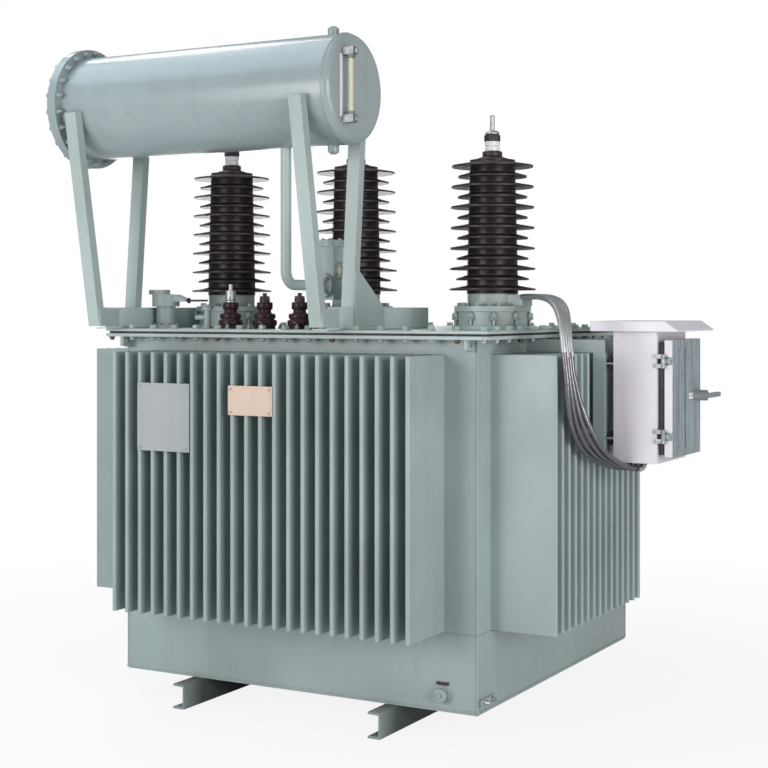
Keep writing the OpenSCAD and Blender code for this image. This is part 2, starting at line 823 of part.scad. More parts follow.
module gas_relay() {
    low = pipe_z - relay_drop;
    window_z = low + relay_h * 0.55;
    window_d = relay_w * 0.6;
    window_t = 8;
    color(paint) on_run() {
        difference() {
            block([-relay_w / 2, relay_dist - relay_w / 2, low],
                [relay_w / 2, relay_dist + relay_w / 2, low + relay_h]);
            for (x = [-1, 1]) {
                translate([x * relay_w / 2, relay_dist, window_z]) rotate([0, 90, 0])
                    cylinder(d = window_d, h = window_t, center = true);
            }
        }
        translate([0, relay_dist, low + relay_h]) cylinder(d = relay_cap_d, h = relay_cap_h);
        rod_y([0, relay_y0, pipe_z], pipe_d, relay_l);
        rod_y([0, relay_y0, pipe_z], pipe_flange_d, pipe_flange_t);
        rod_y([0, relay_y1 - pipe_flange_t, pipe_z], pipe_flange_d, pipe_flange_t);
    }
}

module oil_riser() {
    color(paint) on_run() {
        rod_y([0, relay_y1, pipe_z], pipe_flange_d, pipe_flange_t);
        translate([0, relay_y1 + pipe_flange_t, pipe_z - pipe_bend_r]) elbow();
        translate([0, riser_y, cover_top]) cylinder(d = pipe_d, h = pipe_run_h - pipe_bend_r);
        translate([0, riser_y, cover_top]) cylinder(d = pipe_d + pipe_flange_t, h = pipe_flange_t);
    }
}

// Stepped body with a cap beside its middle and a sloping arm for the trip rod
module relief_device() {
    flange_t = 12;
    arm_t = 8;
    neck_d = relief_d * 0.7;
    flange_d = neck_d + 2 * flange_t;
    neck_h = base_h + relief_lift;
    body_top = neck_h + relief_h;
    arm_x = relief_d / 2;
    arm_low = body_top - relief_h * 0.6;
    color(paint) translate([relief_x, relief_y, cover_top]) {
        cylinder(d = flange_d, h = flange_t);
        cylinder(d = neck_d, h = neck_h);
        translate([0, 0, neck_h]) cylinder(d = relief_d, h = relief_h);
        translate([-relief_cap_off, 0, body_top]) cylinder(d = relief_cap_d, h = relief_cap_h);
        translate([0, -relief_arm_w / 2, 0]) rotate([90, 0, 0]) mirror([0, 0, 1])
            linear_extrude(relief_arm_w) polygon([
                [0, arm_low], [arm_x + relief_arm_l, arm_low], [arm_x + relief_arm_l, arm_low + arm_t],
                [arm_x, body_top], [0, body_top],
            ]);
    }
}

module cover_valve() {
    foot_t = 8;
    knob_t = 12;
    stem_d = valve_d * 0.6;
    spout_d = valve_d * 0.4;
    spout_l = valve_d * 1.2;
    color(paint) translate([valve_x, relief_y, cover_top]) {
        cylinder(d = valve_d, h = foot_t);
        cylinder(d = stem_d, h = valve_h);
        translate([0, 0, valve_h / 2]) rotate([0, -90, 0]) cylinder(d = spout_d, h = spout_l);
        translate([0, 0, valve_h - knob_t]) cylinder(d = valve_d, h = knob_t);
    }
}

module drain_valve() {
    x = half_l - drain_off;
    z = floor_z + drain_z;
    flange_d = drain_d * 1.5;
    flange_t = 10;
    cap_d = drain_d * 1.25;
    cap_t = 14;
    color(paint) {
        rod_y([x, -half_w - flange_t, z], flange_d, flange_t);
        rod_y([x, -half_w - drain_out, z], drain_d, drain_out);
        rod_y([x, -half_w - drain_out, z], cap_d, cap_t);
    }
}

module earth_pad() {
    color(paint) translate([half_l, -half_w + earth_off, floor_z + earth_z])
        cube([earth_t, earth_l, earth_h]);
}

// One arm from the tank wall with its post and the lugs that hold the case, its front face at y
module bracket_side(y) {
    post_low = box_low + post_foot;
    arm_top = rim_low - arm_drop;
    lug_z = [post_low + strap_inset, arm_top - arm_h - strap_inset];
    block([half_l, y, arm_top - arm_h], [post_x0 + angle_w, y + angle_t, arm_top]);
    block([post_x0, y, post_low], [post_x0 + angle_w, y + angle_t, arm_top]);
    block([post_x0 + angle_w - angle_t, y, post_low], [post_x0 + angle_w, y + angle_w, arm_top - arm_h]);
    for (z = lug_z) {
        block([post_x0 + angle_w - angle_t, y, z], [box_x0, y + angle_w, z + angle_t]);
    }
}

module box_bracket() {
    color(paint) {
        bracket_side(box_y0);
        bracket_side(box_y1 - angle_w);
    }
}

module box_case() {
    collar_y0 = door_y0 + collar_in;
    collar_y1 = box_y1 - collar_in;
    collar_low = door_low + collar_in;
    collar_high = door_high - collar_in;
    color(lavender) difference() {
        union() {
            block([box_x0, box_y0, box_low], [box_x1, box_y1, box_top]);
            block([box_x0, collar_y0, collar_low], [door_x - collar_gap, collar_y1, collar_high]);
        }
        block([box_x0 + box_t, box_y0 + box_t, box_low + box_t],
            [box_x1 - box_t, box_y1 - box_t, box_top - box_t]);
        block([box_x0 + box_t, collar_y0 + box_t, collar_low + box_t],
            [door_x, collar_y1 - box_t, collar_high - box_t]);
    }
}

module box_roof() {
    edge_x = door_face + roof_over;
    edge_h = 5;
    color(zinc) translate([0, box_y0 - roof_over, box_top]) rotate([90, 0, 0]) mirror([0, 0, 1])
        linear_extrude(box_w + roof_over + roof_back_over) polygon([
            [post_x0, 0], [edge_x, 0], [edge_x, edge_h], [edge_x - roof_slope, roof_h], [post_x0, roof_h],
        ]);
}

// Heights of the two hinge middles
hinge_z = [door_low + hinge_inset, door_high - hinge_inset];
knuckle_l = (hinge_l - 2 * slip) / 3;

module box_hinges() {
    step = (hinge_l - knuckle_l) / 2;
    fixed_l = door_x - box_x1 + leaf_l;
    color(zinc) for (z = hinge_z) translate([door_x, hinge_y, z]) {
        cylinder(r = hinge_pin_r, h = hinge_l, center = true);
        for (s = [-1, 1]) translate([0, 0, s * step]) {
            cylinder(r = knuckle_r, h = knuckle_l, center = true);
            translate([-fixed_l, box_y0 - hinge_y - leaf_t, -knuckle_l / 2])
                cube([fixed_l, leaf_t, knuckle_l]);
        }
    }
}

module box_door() {
    pad_l = door_leaf_l / 2;
    pad_y = door_y0 - hinge_y;
    color(galvanised) difference() {
        union() {
            difference() {
                block([door_x, door_y0, door_low], [door_face, box_y1, door_high]);
                block([door_x - cut, door_y0 + door_sheet_t, door_low + door_sheet_t],
                    [door_face - door_sheet_t, box_y1 - door_sheet_t, door_high - door_sheet_t]);
            }
            for (z = hinge_z) translate([door_x, hinge_y, z - knuckle_l / 2]) {
                cylinder(r = knuckle_r, h = knuckle_l);
                translate([0, knuckle_r - leaf_t, 0]) cube([door_leaf_l, leaf_t, knuckle_l]);
                translate([door_leaf_l - pad_l, knuckle_r - weld, 0])
                    cube([pad_l, pad_y - knuckle_r + 2 * weld, knuckle_l]);
            }
        }
        for (z = hinge_z) translate([door_x, hinge_y, z])
            cylinder(r = hinge_pin_r + run_gap, h = hinge_l, center = true);
        rod_x([door_x, handle_y, handle_z], 2 * (handle_shaft_r + run_gap), 2 * door_t);
    }
}

module box_handle() {
    boss_l = handle_out - handle_t;
    shaft_in = 6;
    color(zinc) {
        rod_x([door_face - door_sheet_t - shaft_in, handle_y, handle_z], 2 * handle_shaft_r, boss_l);
        rod_x([door_face + slip, handle_y, handle_z], handle_boss_d, boss_l - slip);
        block([door_face + boss_l, handle_y - handle_boss_d / 2, handle_z - handle_t / 2],
            [door_face + handle_out, handle_y + handle_l, handle_z + handle_t / 2]);
    }
}

// Hand-chosen route of the conduit bundle from the third turret to the case underside,
// measured from the tank end and from the cover top
conduit_points = [
    [-50, -222, 118], [50, -322, 119], [122, -398, 115], [185, -468, 100], [226, -520, 70],
    [250, -552, 28], [263, -570, -25], [270, -572, -82], [277, -573, -140], [282, -564, -200],
    [286, -550, -260], [292, -524, -320], [302, -484, -378], [316, -430, -424], [334, -368, -456],
    [356, -306, -478], [378, -254, -486], [390, -230, -478], [392, -224, -430],
];
conduit_route = [for (p = conduit_points) p + [half_l, 0, cover_top]];
// Point of the route where the bundle starts to twist, and the number of spans that it takes
twist_first = 8;
twist_span = 7;

function unit(v) = v / norm(v);
// Direction of a route at a point
function along(p, i) = unit(p[min(i + 1, len(p) - 1)] - p[max(i - 1, 0)]);
// Share of the turn from a bundle that is flat front to back to one that is flat left to right
function twist(i) = min(1, max(0, (i - twist_first) / twist_span));
// Direction out of the flat bundle at a point, and the direction across the bundle
function outward(t, i) = unit(cross(t, [twist(i), 1 - twist(i), 0]));
function across(t, i) = cross(t, outward(t, i));

// Round tube beside a route, with one ring of corners at each point
module tube(p, off, d, sides) {
    rings = [for (i = [0 : len(p) - 1])
        let (t = along(p, i), u = outward(t, i), v = across(t, i))
        for (k = [0 : sides - 1])
            p[i] + off * v + d / 2 * (u * cos(360 * k / sides) + v * sin(360 * k / sides))];
    last = (len(p) - 1) * sides;
    walls = [for (i = [0 : len(p) - 2], k = [0 : sides - 1])
        let (a = i * sides, b = a + sides, n = (k + 1) % sides)
        each [[a + k, b + k, b + n], [a + k, b + n, a + n]]];
    foot = [for (k = [0 : sides - 1]) k];
    head = [for (k = [sides - 1 : -1 : 0]) last + k];
    polyhedron(rings, concat(walls, [foot, head]));
}

module conduits() {
    count = 4;
    sides = 10;
    ct_face = hv_at(3)[0] + hv_neck_d / 2 + ct_out + seat;
    reach = 5 * conduit_d;
    color(dark) difference() {
        for (k = [0 : count - 1]) {
            tube(conduit_route, (k - (count - 1) / 2) * (conduit_d + seat), conduit_d, sides);
        }
        translate([ct_face - 2 * reach, hv_y - reach, cover_top]) cube(2 * reach);
        translate([box_x0, box_y0, box_low - seat]) cube(2 * reach);
    }
}

base_rail(-1);  // base_rail_left
base_rail(1);  // base_rail_right
tank_floor();
tank_skirt();
front_fin_wall();
back_fin_wall();
left_fin_wall();
right_fin_wall();
rim_flange();
lifting_lugs();
cover_gasket();
tank_cover();
hv_turret(1);  // hv_turret_1
hv_turret(2);  // hv_turret_2
hv_turret(3);  // hv_turret_3
ct_box();
hv_bushing(1);  // hv_bushing_1
hv_bushing(2);  // hv_bushing_2
hv_bushing(3);  // hv_bushing_3
hv_terminal(1);  // hv_terminal_1
hv_terminal(2);  // hv_terminal_2
hv_terminal(3);  // hv_terminal_3
lv_bushing(1);  // lv_bushing_1
lv_bushing(2);  // lv_bushing_2
lv_bushing(3);  // lv_bushing_3
lv_terminal(1);  // lv_terminal_1
lv_terminal(2);  // lv_terminal_2
lv_terminal(3);  // lv_terminal_3
conservator_barrel();
conservator_end_cover();
conservator_head();
gauge_fittings();
gauge_glass();
conservator_plugs();
trestle_base(trestle_x_left);  // trestle_base_left
trestle_base(trestle_x_right);  // trestle_base_right
trestle_legs(trestle_x_left, false);  // trestle_legs_left
trestle_legs(trestle_x_right, true);  // trestle_legs_right
oil_pipe();
gas_relay();
oil_riser();
relief_device();
cover_valve();
drain_valve();
earth_pad();
box_bracket();
box_case();
box_roof();
box_hinges();
box_door();
box_handle();
conduits();
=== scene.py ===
"""Looks of the power transformer: finishes, fasteners, seams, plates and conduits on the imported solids."""

import json
import logging
import math
from dataclasses import dataclass
from enum import Enum
from typing import Callable, Iterable, Sequence

import bpy
from mathutils import Matrix, Vector


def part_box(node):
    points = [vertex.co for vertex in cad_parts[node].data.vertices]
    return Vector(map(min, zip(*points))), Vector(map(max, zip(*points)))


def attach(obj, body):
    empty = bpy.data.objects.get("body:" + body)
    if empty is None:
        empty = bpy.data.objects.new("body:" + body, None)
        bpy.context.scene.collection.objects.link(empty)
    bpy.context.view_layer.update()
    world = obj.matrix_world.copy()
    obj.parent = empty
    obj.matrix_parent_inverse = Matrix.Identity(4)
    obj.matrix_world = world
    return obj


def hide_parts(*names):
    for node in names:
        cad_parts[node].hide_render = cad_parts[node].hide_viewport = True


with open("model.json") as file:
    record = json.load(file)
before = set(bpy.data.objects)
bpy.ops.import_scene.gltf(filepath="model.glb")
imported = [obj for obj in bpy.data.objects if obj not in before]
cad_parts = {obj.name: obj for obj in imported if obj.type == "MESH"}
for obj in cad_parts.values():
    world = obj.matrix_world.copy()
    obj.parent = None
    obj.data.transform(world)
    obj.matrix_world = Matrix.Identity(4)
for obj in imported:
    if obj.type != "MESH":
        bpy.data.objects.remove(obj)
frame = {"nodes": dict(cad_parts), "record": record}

LOG = logging.getLogger("transformer")
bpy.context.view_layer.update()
MM = 0.001
# Gaps that keep a piece off the solid beside it, in metres
HAIR = 0.0003
TOUCH = 0.0002
# Distances from the middle where the painted shade under the tank starts on the rails and where it is full,
# in metres
UNDER_TANK_SHADE_EDGE = (0.85, 0.72)
DUST = (0.55, 0.53, 0.48)
PHASES = ("1", "2", "3")
TRESTLE_BASES = ("trestle_base_left", "trestle_base_right")
Point = tuple[float, float, float]
Profile = Sequence[tuple[float, float]]
Piece = bpy.types.Object
Socket = bpy.types.NodeSocket


class Body(str, Enum):
    """The bodies of the model that the pieces made here ride on."""

    TRANSFORMER = "transformer"
    DOOR = "door"


class Axis(Enum):
    """Directions that a fitting can stand in, as the turn that brings +Z there."""

    UP = Matrix.Identity(4)
    DOWN = Matrix.Rotation(math.pi, 4, "X")
    FRONT = Matrix.Rotation(math.pi / 2, 4, "X")
    BACK = Matrix.Rotation(-math.pi / 2, 4, "X")
    RIGHT = Matrix.Rotation(math.pi / 2, 4, "Y")
    LEFT = Matrix.Rotation(-math.pi / 2, 4, "Y")


def place(at: Point, axis: Axis = Axis.UP, spin: float = 0.0) -> Matrix:
    """Gives the matrix that stands a piece at a point.

    Args:
        at: Where the piece's foot goes, in metres.
        axis: The direction that its +Z takes.
        spin: Turn about its own axis, in radians.

    Returns:
        The matrix from the piece's own place to its place on the transformer.
    """
    return Matrix.Translation(at) @ axis.value @ Matrix.Rotation(spin, 4, "Z")


def deselect() -> None:
    """Leaves edit mode and deselects every object."""
    if bpy.context.mode != "OBJECT":
        bpy.ops.object.mode_set(mode="OBJECT")
    bpy.ops.object.select_all(action="DESELECT")


def activate(obj: Piece) -> None:
    """Makes one object the only selected and the active one."""
    deselect()
    obj.select_set(True)
    bpy.context.view_layer.objects.active = obj


def edit_faces(obj: Piece, test: Callable[[bpy.types.MeshPolygon], bool]) -> None:
    """Opens edit mode with only some faces selected.

    Args:
        obj: The mesh to edit.
        test: Says of each face whether it is selected.
    """
    activate(obj)
    mesh = obj.data
    for part in (mesh.vertices, mesh.edges, mesh.polygons):
        part.foreach_set("select", [False] * len(part))
    bpy.context.tool_settings.mesh_select_mode = (False, False, True)
    for face in mesh.polygons:
        face.select = test(face)
    bpy.ops.object.mode_set(mode="EDIT")


def is_top(face: bpy.types.MeshPolygon) -> bool:
    """Says whether a face looks up."""
    return face.normal.z > 0.9


def named(name: str) -> Piece:
    """Leaves edit mode and names the active object and its mesh."""
    if bpy.context.mode != "OBJECT":
        bpy.ops.object.mode_set(mode="OBJECT")
    obj = bpy.context.view_layer.objects.active
    obj.name = name
    obj.data.name = name
    return obj


def smooth(obj: Piece, angle: float = 35.0) -> Piece:
    """Shades an object smooth up to an angle in degrees, and returns it."""
    activate(obj)
    bpy.ops.object.shade_smooth_by_angle(angle=math.radians(angle))
    return obj


def slab(name: str, low: Point, high: Point, bevel: float = 0.002, segments: int = 2) -> Piece:
    """Makes a plate or bar between two corners, with bevelled edges.

    Args:
        name: Name of the piece.
        low: Its lowest corner, in metres.
        high: Its highest corner, in metres.
        bevel: Width of the bevel.
        segments: Number of bevel steps.

    Returns:
        The new object.
    """
    deselect()
    low_v, high_v = Vector(low), Vector(high)
    bpy.ops.mesh.primitive_cube_add(size=1.0, location=(low_v + high_v) / 2, scale=high_v - low_v)
    bpy.ops.object.transform_apply(location=True, rotation=True, scale=True)
    bpy.ops.object.mode_set(mode="EDIT")
    bpy.ops.mesh.select_all(action="SELECT")
    bpy.ops.mesh.bevel(offset=bevel, segments=segments, affect="EDGES")
    return smooth(named(name))


def turned(name: str, profile: Profile, steps: int = 48, angle: float = 35.0) -> Piece:
    """Turns a profile round the Z axis, point by point and then with the spin operator.

    Args:
        name: Name of the piece.
        profile: Radius and height of each point, from the foot to the top.
        steps: Number of steps of the full turn.
        angle: Edges below this angle, in degrees, are shaded smooth.

    Returns:
        The new object, standing on the origin.
    """
    deselect()
    bpy.ops.mesh.primitive_plane_add(size=0.01, location=(profile[0][0], 0.0, profile[0][1]))
    bpy.ops.object.transform_apply(location=True, rotation=True, scale=True)
    bpy.ops.object.mode_set(mode="EDIT")
    bpy.context.tool_settings.mesh_select_mode = (True, False, False)
    bpy.ops.mesh.select_all(action="SELECT")
    bpy.ops.mesh.merge(type="CENTER")
    for (r0, z0), (r1, z1) in zip(profile, profile[1:]):
        bpy.ops.mesh.extrude_vertices_move(TRANSFORM_OT_translate={"value": (r1 - r0, 0.0, z1 - z0)})
    bpy.ops.mesh.select_all(action="SELECT")
    bpy.ops.mesh.spin(steps=steps, angle=2 * math.pi, center=(0, 0, 0), axis=(0, 0, 1))
    bpy.ops.mesh.select_all(action="SELECT")
    bpy.ops.mesh.remove_doubles(threshold=1e-6)
    bpy.ops.mesh.normals_make_consistent(inside=False)
    return smooth(named(name), angle)


@dataclass(frozen=True)
class HeadShape:
    """Proportions of a hexagon head, as shares of its height or of its width across the corners."""

    washer_t: float = 0.25
    chamfer: float = 0.07
    crown: float = 0.14
    stud_inset: float = 0.13
    stud_taper: float = 0.85
    washer_edge: float = 0.2


HEAD = HeadShape()


def hex_bolt(across: float, height: float, washer: float = 0.0, stud: float = 0.0) -> Piece:
    """Models one hexagon head with a chamfered crown, on a washer if wanted.

    Args:
        across: Distance across the corners, in metres.
        height: Height of the head.
        washer: Diameter of the washer, or 0 for none.
        stud: Length of the thread that stands out of the head, or 0 for none.

    Returns:
        The head as a pattern for copies, standing on the origin.
    """
    deselect()
    washer_t = height * HEAD.washer_t if washer else 0.0
    bpy.ops.mesh.primitive_cylinder_add(
        vertices=6, radius=across / 2, depth=height, location=(0, 0, washer_t + height / 2))
    bpy.ops.object.transform_apply(location=True, rotation=True, scale=True)
    head = named("head_pattern")
    edit_faces(head, is_top)
    bpy.ops.mesh.inset(thickness=across * HEAD.chamfer)
    bpy.ops.transform.translate(value=(0, 0, height * HEAD.crown))
    if stud:
        bpy.ops.mesh.inset(thickness=across * HEAD.stud_inset)
        bpy.ops.mesh.extrude_region_move(TRANSFORM_OT_translate={"value": (0, 0, stud)})
        bpy.ops.transform.resize(value=(HEAD.stud_taper, HEAD.stud_taper, 1.0))
    if washer:
        bpy.ops.mesh.select_all(action="DESELECT")
        bpy.ops.mesh.primitive_cylinder_add(
            vertices=14, radius=washer / 2, depth=washer_t, location=(0, 0, washer_t / 2))
        bpy.ops.mesh.bevel(offset=washer_t * HEAD.washer_edge, segments=1, affect="EDGES")
    return named("head_pattern")


def scatter(name: str, pattern: Piece, places: Iterable[Matrix]) -> Piece:
    """Copies a pattern to each place, joins the copies and removes the pattern.

    Args:
        name: Name of the joined piece.
        pattern: The modelled shape, at the origin.
        places: A matrix for each copy.

    Returns:
        The joined piece.
    """
    copies = []
    for matrix in places:
        copy = pattern.copy()
        copy.data = pattern.data.copy()
        copy.data.transform(matrix)
        bpy.context.scene.collection.objects.link(copy)
        copies.append(copy)
    bpy.data.objects.remove(pattern)
    return join(name, copies)


def join(name: str, parts: Sequence[Piece]) -> Piece:
    """Joins several meshes into one piece of that name."""
    deselect()
    for part in parts:
        part.select_set(True)
    bpy.context.view_layer.objects.active = parts[0]
    if len(parts) > 1:
        bpy.ops.object.join()
    return named(name)


def moved(obj: Piece, matrix: Matrix) -> Piece:
    """Moves a piece by changing its mesh, so that its object stays at the origin."""
    obj.data.transform(matrix)
    obj.data.update()
    return obj


def ring(centre: Point, radius: float, count: int, axis: Axis, start: float = 0.0) -> list[Matrix]:
    """Gives places on a bolt circle.

    Args:
        centre: Middle of the circle.
        radius: Radius of the circle.
        count: Number of places.
        axis: The direction that the bolts stand in.
        start: Angle of the first place, in radians.

    Returns:
        One matrix for each place.
    """
    base = place(centre, axis)
    step = 2 * math.pi / count
    return [base @ Matrix.Rotation(start + k * step, 4, "Z") @ Matrix.Translation((radius, 0, 0))
            for k in range(count)]


def spread(first: float, last: float, pitch: float) -> list[float]:
    """Gives evenly spaced numbers from first to last, about a pitch apart."""
    count = max(1, round((last - first) / pitch))
    return [first + (last - first) * k / count for k in range(count + 1)]


class Sheet:
    """A material's node tree, with short calls for the nodes that the finishes share."""

    def __init__(self, name: str) -> None:
        """Starts a material with a plain shader.

        Args:
            name: Name of the material.
        """
        self.material = bpy.data.materials.new(name)
        self.material.use_nodes = True
        self.tree = self.material.node_tree
        self.shader = self.tree.nodes["Principled BSDF"]
        self.coords = self.tree.nodes.new("ShaderNodeTexCoord").outputs["Object"]

    def link(self, source: Socket, target: Socket) -> None:
        """Joins two sockets."""
        self.tree.links.new(source, target)

    def stretch(self, scale: Point) -> Socket:
        """Gives object coordinates, scaled along each axis."""
        mapping = self.tree.nodes.new("ShaderNodeMapping")
        mapping.inputs["Scale"].default_value = scale
        self.link(self.coords, mapping.inputs["Vector"])
        return mapping.outputs["Vector"]

    def noise(self, scale: float, detail: float = 3.0, rough: float = 0.55,
              coords: Socket | None = None) -> Socket:
        """Adds a noise texture.

        Args:
            scale: Scale of the noise.
            detail: Number of octaves.
            rough: Roughness of the noise.
            coords: Coordinates to read, or None for object coordinates.

        Returns:
            The noise as a factor.
        """
        node = self.tree.nodes.new("ShaderNodeTexNoise")
        node.inputs["Scale"].default_value = scale
        node.inputs["Detail"].default_value = detail
        node.inputs["Roughness"].default_value = rough
        self.link(coords or self.coords, node.inputs["Vector"])
        return node.outputs["Fac"]

    def span(self, value: Socket, low: float, high: float,
             out_low: float = 0.0, out_high: float = 1.0) -> Socket:
        """Maps a value's range to another one, clamped."""
        node = self.tree.nodes.new("ShaderNodeMapRange")
        for name, number in (("From Min", low), ("From Max", high),
                             ("To Min", out_low), ("To Max", out_high)):
            node.inputs[name].default_value = number
        self.link(value, node.inputs["Value"])
        return node.outputs["Result"]

    def math(self, kind: str, a: Socket, b: Socket | float) -> Socket:
        """Joins two values by a math operation."""
        node = self.tree.nodes.new("ShaderNodeMath")
        node.operation = kind
        self.link(a, node.inputs[0])
        if isinstance(b, (int, float)):
            node.inputs[1].default_value = b
        else:
            self.link(b, node.inputs[1])
        return node.outputs["Value"]

    def mix(self, factor: Socket, a: Socket | Sequence[float],
            b: Socket | Sequence[float]) -> Socket:
        """Mixes two colours, each a socket or three numbers, by a factor."""
        node = self.tree.nodes.new("ShaderNodeMix")
        node.data_type = "RGBA"
        self.link(factor, node.inputs[0])
        for socket, value in ((node.inputs[6], a), (node.inputs[7], b)):
            if isinstance(value, Socket):
                self.link(value, socket)
            else:
                socket.default_value = (*value[:3], 1.0)
        return node.outputs[2]

    def depth(self) -> Socket:
        """Gives the distance in front of or behind the middle, in metres."""
        parts = self.tree.nodes.new("ShaderNodeSeparateXYZ")
        self.link(self.coords, parts.inputs["Vector"])
        return self.math("ABSOLUTE", parts.outputs["Y"], 0.0)

    def facing_up(self) -> Socket:
        """Gives how far the surface looks up, from -1 to 1."""
        geometry = self.tree.nodes.new("ShaderNodeNewGeometry")
        parts = self.tree.nodes.new("ShaderNodeSeparateXYZ")
        self.link(geometry.outputs["Normal"], parts.inputs["Vector"])
        return parts.outputs["Z"]

    def rounded(self, radius: float) -> tuple[Socket, Socket]:
        """Rounds the shading of edges.

        Args:
            radius: Radius of the rounding, in metres.

        Returns:
            The rounded normal, and a mask that is 1 on the edges.
        """
        bevel = self.tree.nodes.new("ShaderNodeBevel")
        bevel.samples = 4
        bevel.inputs["Radius"].default_value = radius
        geometry = self.tree.nodes.new("ShaderNodeNewGeometry")
        dot = self.tree.nodes.new("ShaderNodeVectorMath")
        dot.operation = "DOT_PRODUCT"
        self.link(bevel.outputs["Normal"], dot.inputs[0])
        self.link(geometry.outputs["Normal"], dot.inputs[1])
        return bevel.outputs["Normal"], self.span(dot.outputs["Value"], 0.995, 0.90)

    def bump(self, height: Socket, strength: float, distance: float,
             normal: Socket | None = None) -> None:
        """Adds a bump to the shader's normal.

        Args:
            height: The height of the surface.
            strength: Strength of the bump.
            distance: Height in metres of a step from 0 to 1.
            normal: The normal under the bump, or None for the surface's own.
        """
        node = self.tree.nodes.new("ShaderNodeBump")
        node.inputs["Strength"].default_value = strength
        node.inputs["Distance"].default_value = distance
        self.link(height, node.inputs["Height"])
        if normal is not None:
            self.link(normal, node.inputs["Normal"])
        self.link(node.outputs["Normal"], self.shader.inputs["Normal"])

    def set(self, **values: float) -> None:
        """Sets constants on the shader's sockets, named with _ for spaces."""
        for name, value in values.items():
            self.shader.inputs[name.replace("_", " ")].default_value = value


def shade(colour: Sequence[float], factor: float) -> tuple[float, ...]:
    """Gives a colour times a factor."""
    return tuple(min(1.0, c * factor) for c in colour)


@dataclass(frozen=True)
class PaintFinish:
    """Air-dried paint on steel: tone drift, faint runs, dust on level faces, worn edges, and painted shade
    towards the middle where the parts run under the tank.
    """

    name: str
    colour: tuple[float, float, float]
    roughness: float = 0.42
    drift: float = 0.10
    dust: float = 0.16
    wear: float = 0.35
    edge: float = 0.0025
    under_tank_shade: float = 0.0

    def material(self) -> bpy.types.Material:
        """Builds the material and returns it."""
        sheet = Sheet(self.name)
        tone = sheet.mix(sheet.span(sheet.noise(2.3, 2.0), 0.32, 0.68),
                         shade(self.colour, 1 - self.drift), shade(self.colour, 1 + self.drift))
        runs = sheet.span(sheet.noise(7.0, 3.0, 0.6, sheet.stretch((3.0, 3.0, 0.16))), 0.50, 0.78, 0.0, 0.22)
        tone = sheet.mix(runs, tone, shade(self.colour, 0.66))
        level = sheet.span(sheet.facing_up(), 0.55, 0.95)
        dust = sheet.math("MULTIPLY", level, sheet.span(sheet.noise(9.0, 4.0), 0.35, 0.75, 0.3, 1.0))
        tone = sheet.mix(sheet.math("MULTIPLY", dust, self.dust), tone, DUST)
        if self.under_tank_shade:
            # Painted shade: darker towards the middle, where the rails lie under the tank
            under = sheet.span(sheet.depth(), *UNDER_TANK_SHADE_EDGE)
            tone = sheet.mix(sheet.math("MULTIPLY", under, self.under_tank_shade), tone, shade(self.colour, 0.12))
        normal, edges = sheet.rounded(self.edge)
        chips = sheet.math("MULTIPLY", edges, sheet.span(sheet.noise(34.0, 4.0, 0.7), 0.42, 0.66, 0.25, 1.0))
        tone = sheet.mix(sheet.math("MULTIPLY", chips, self.wear), tone, shade(self.colour, 1.75))
        sheet.link(tone, sheet.shader.inputs["Base Color"])
        gloss = sheet.span(sheet.noise(14.0, 3.0), 0.3, 0.7, self.roughness * 0.9, self.roughness * 1.15)
        sheet.link(gloss, sheet.shader.inputs["Roughness"])
        sheet.bump(sheet.noise(160.0, 2.0), 0.10, 0.0008, normal)
        return sheet.material


@dataclass(frozen=True)
class GlazeFinish:
    """Fired glaze on porcelain: deep colour, painted pale highlights on the shed rims, and pale dust on top
    of the sheds that also stands in for their sheen.
    """

    name: str
    colour: tuple[float, float, float]
    dust: tuple[float, float, float]
    dust_and_sheen_share: float = 0.35

    def material(self) -> bpy.types.Material:
        """Builds the material and returns it."""
        sheet = Sheet(self.name)
        tone = sheet.mix(sheet.span(sheet.noise(11.0, 3.0), 0.3, 0.7),
                         shade(self.colour, 0.75), shade(self.colour, 1.35))
        # Dust on the upward faces, which also paints the sheen on top of the sheds
        level = sheet.span(sheet.facing_up(), 0.35, 0.95)
        dust = sheet.math("MULTIPLY", level, sheet.span(sheet.noise(26.0, 4.0), 0.35, 0.70))
        tone = sheet.mix(sheet.math("MULTIPLY", dust, self.dust_and_sheen_share), tone, self.dust)
        # Painted highlight: the shed rims are lightened towards the pale dust colour
        normal, rim_highlight = sheet.rounded(0.004)
        tone = sheet.mix(sheet.math("MULTIPLY", rim_highlight, 0.55), tone, shade(self.dust, 1.3))
        sheet.link(tone, sheet.shader.inputs["Base Color"])
        sheet.link(sheet.span(dust, 0.0, 1.0, 0.38, 0.6), sheet.shader.inputs["Roughness"])
        sheet.set(Specular_IOR_Level=0.22, Coat_Weight=0.03, Coat_Roughness=0.15)
        sheet.bump(sheet.noise(70.0, 2.0), 0.06, 0.001, normal)
        return sheet.material


@dataclass(frozen=True)
class PlatedFinish:
    """Plated or bare metal: fine brushing, dulled patches and darker specks."""

    name: str
    colour: tuple[float, float, float]
    roughness: float = 0.34
    metallic: float = 0.85
    grain: tuple[float, float, float] = (60.0, 60.0, 6.0)
    streaks: float = 0.18

    def material(self) -> bpy.types.Material:
        """Builds the material and returns it."""
        sheet = Sheet(self.name)
        brushed = sheet.noise(5.0, 3.0, 0.6, sheet.stretch(self.grain))
        patches = sheet.span(sheet.noise(18.0, 4.0, 0.6), 0.40, 0.70)
        tone = sheet.mix(sheet.span(brushed, 0.3, 0.7),
                         shade(self.colour, 1 - self.streaks), shade(self.colour, 1 + self.streaks))
        tone = sheet.mix(sheet.math("MULTIPLY", patches, 0.45), tone, shade(self.colour, 0.55))
        normal, edges = sheet.rounded(0.0012)
        tone = sheet.mix(sheet.math("MULTIPLY", edges, 0.4), tone, shade(self.colour, 1.35))
        sheet.link(tone, sheet.shader.inputs["Base Color"])
        sheet.link(sheet.span(patches, 0.0, 1.0, self.roughness, self.roughness + 0.22),
                   sheet.shader.inputs["Roughness"])
        sheet.set(Metallic=self.metallic)
        sheet.bump(brushed, 0.08, 0.0006, normal)
        return sheet.material


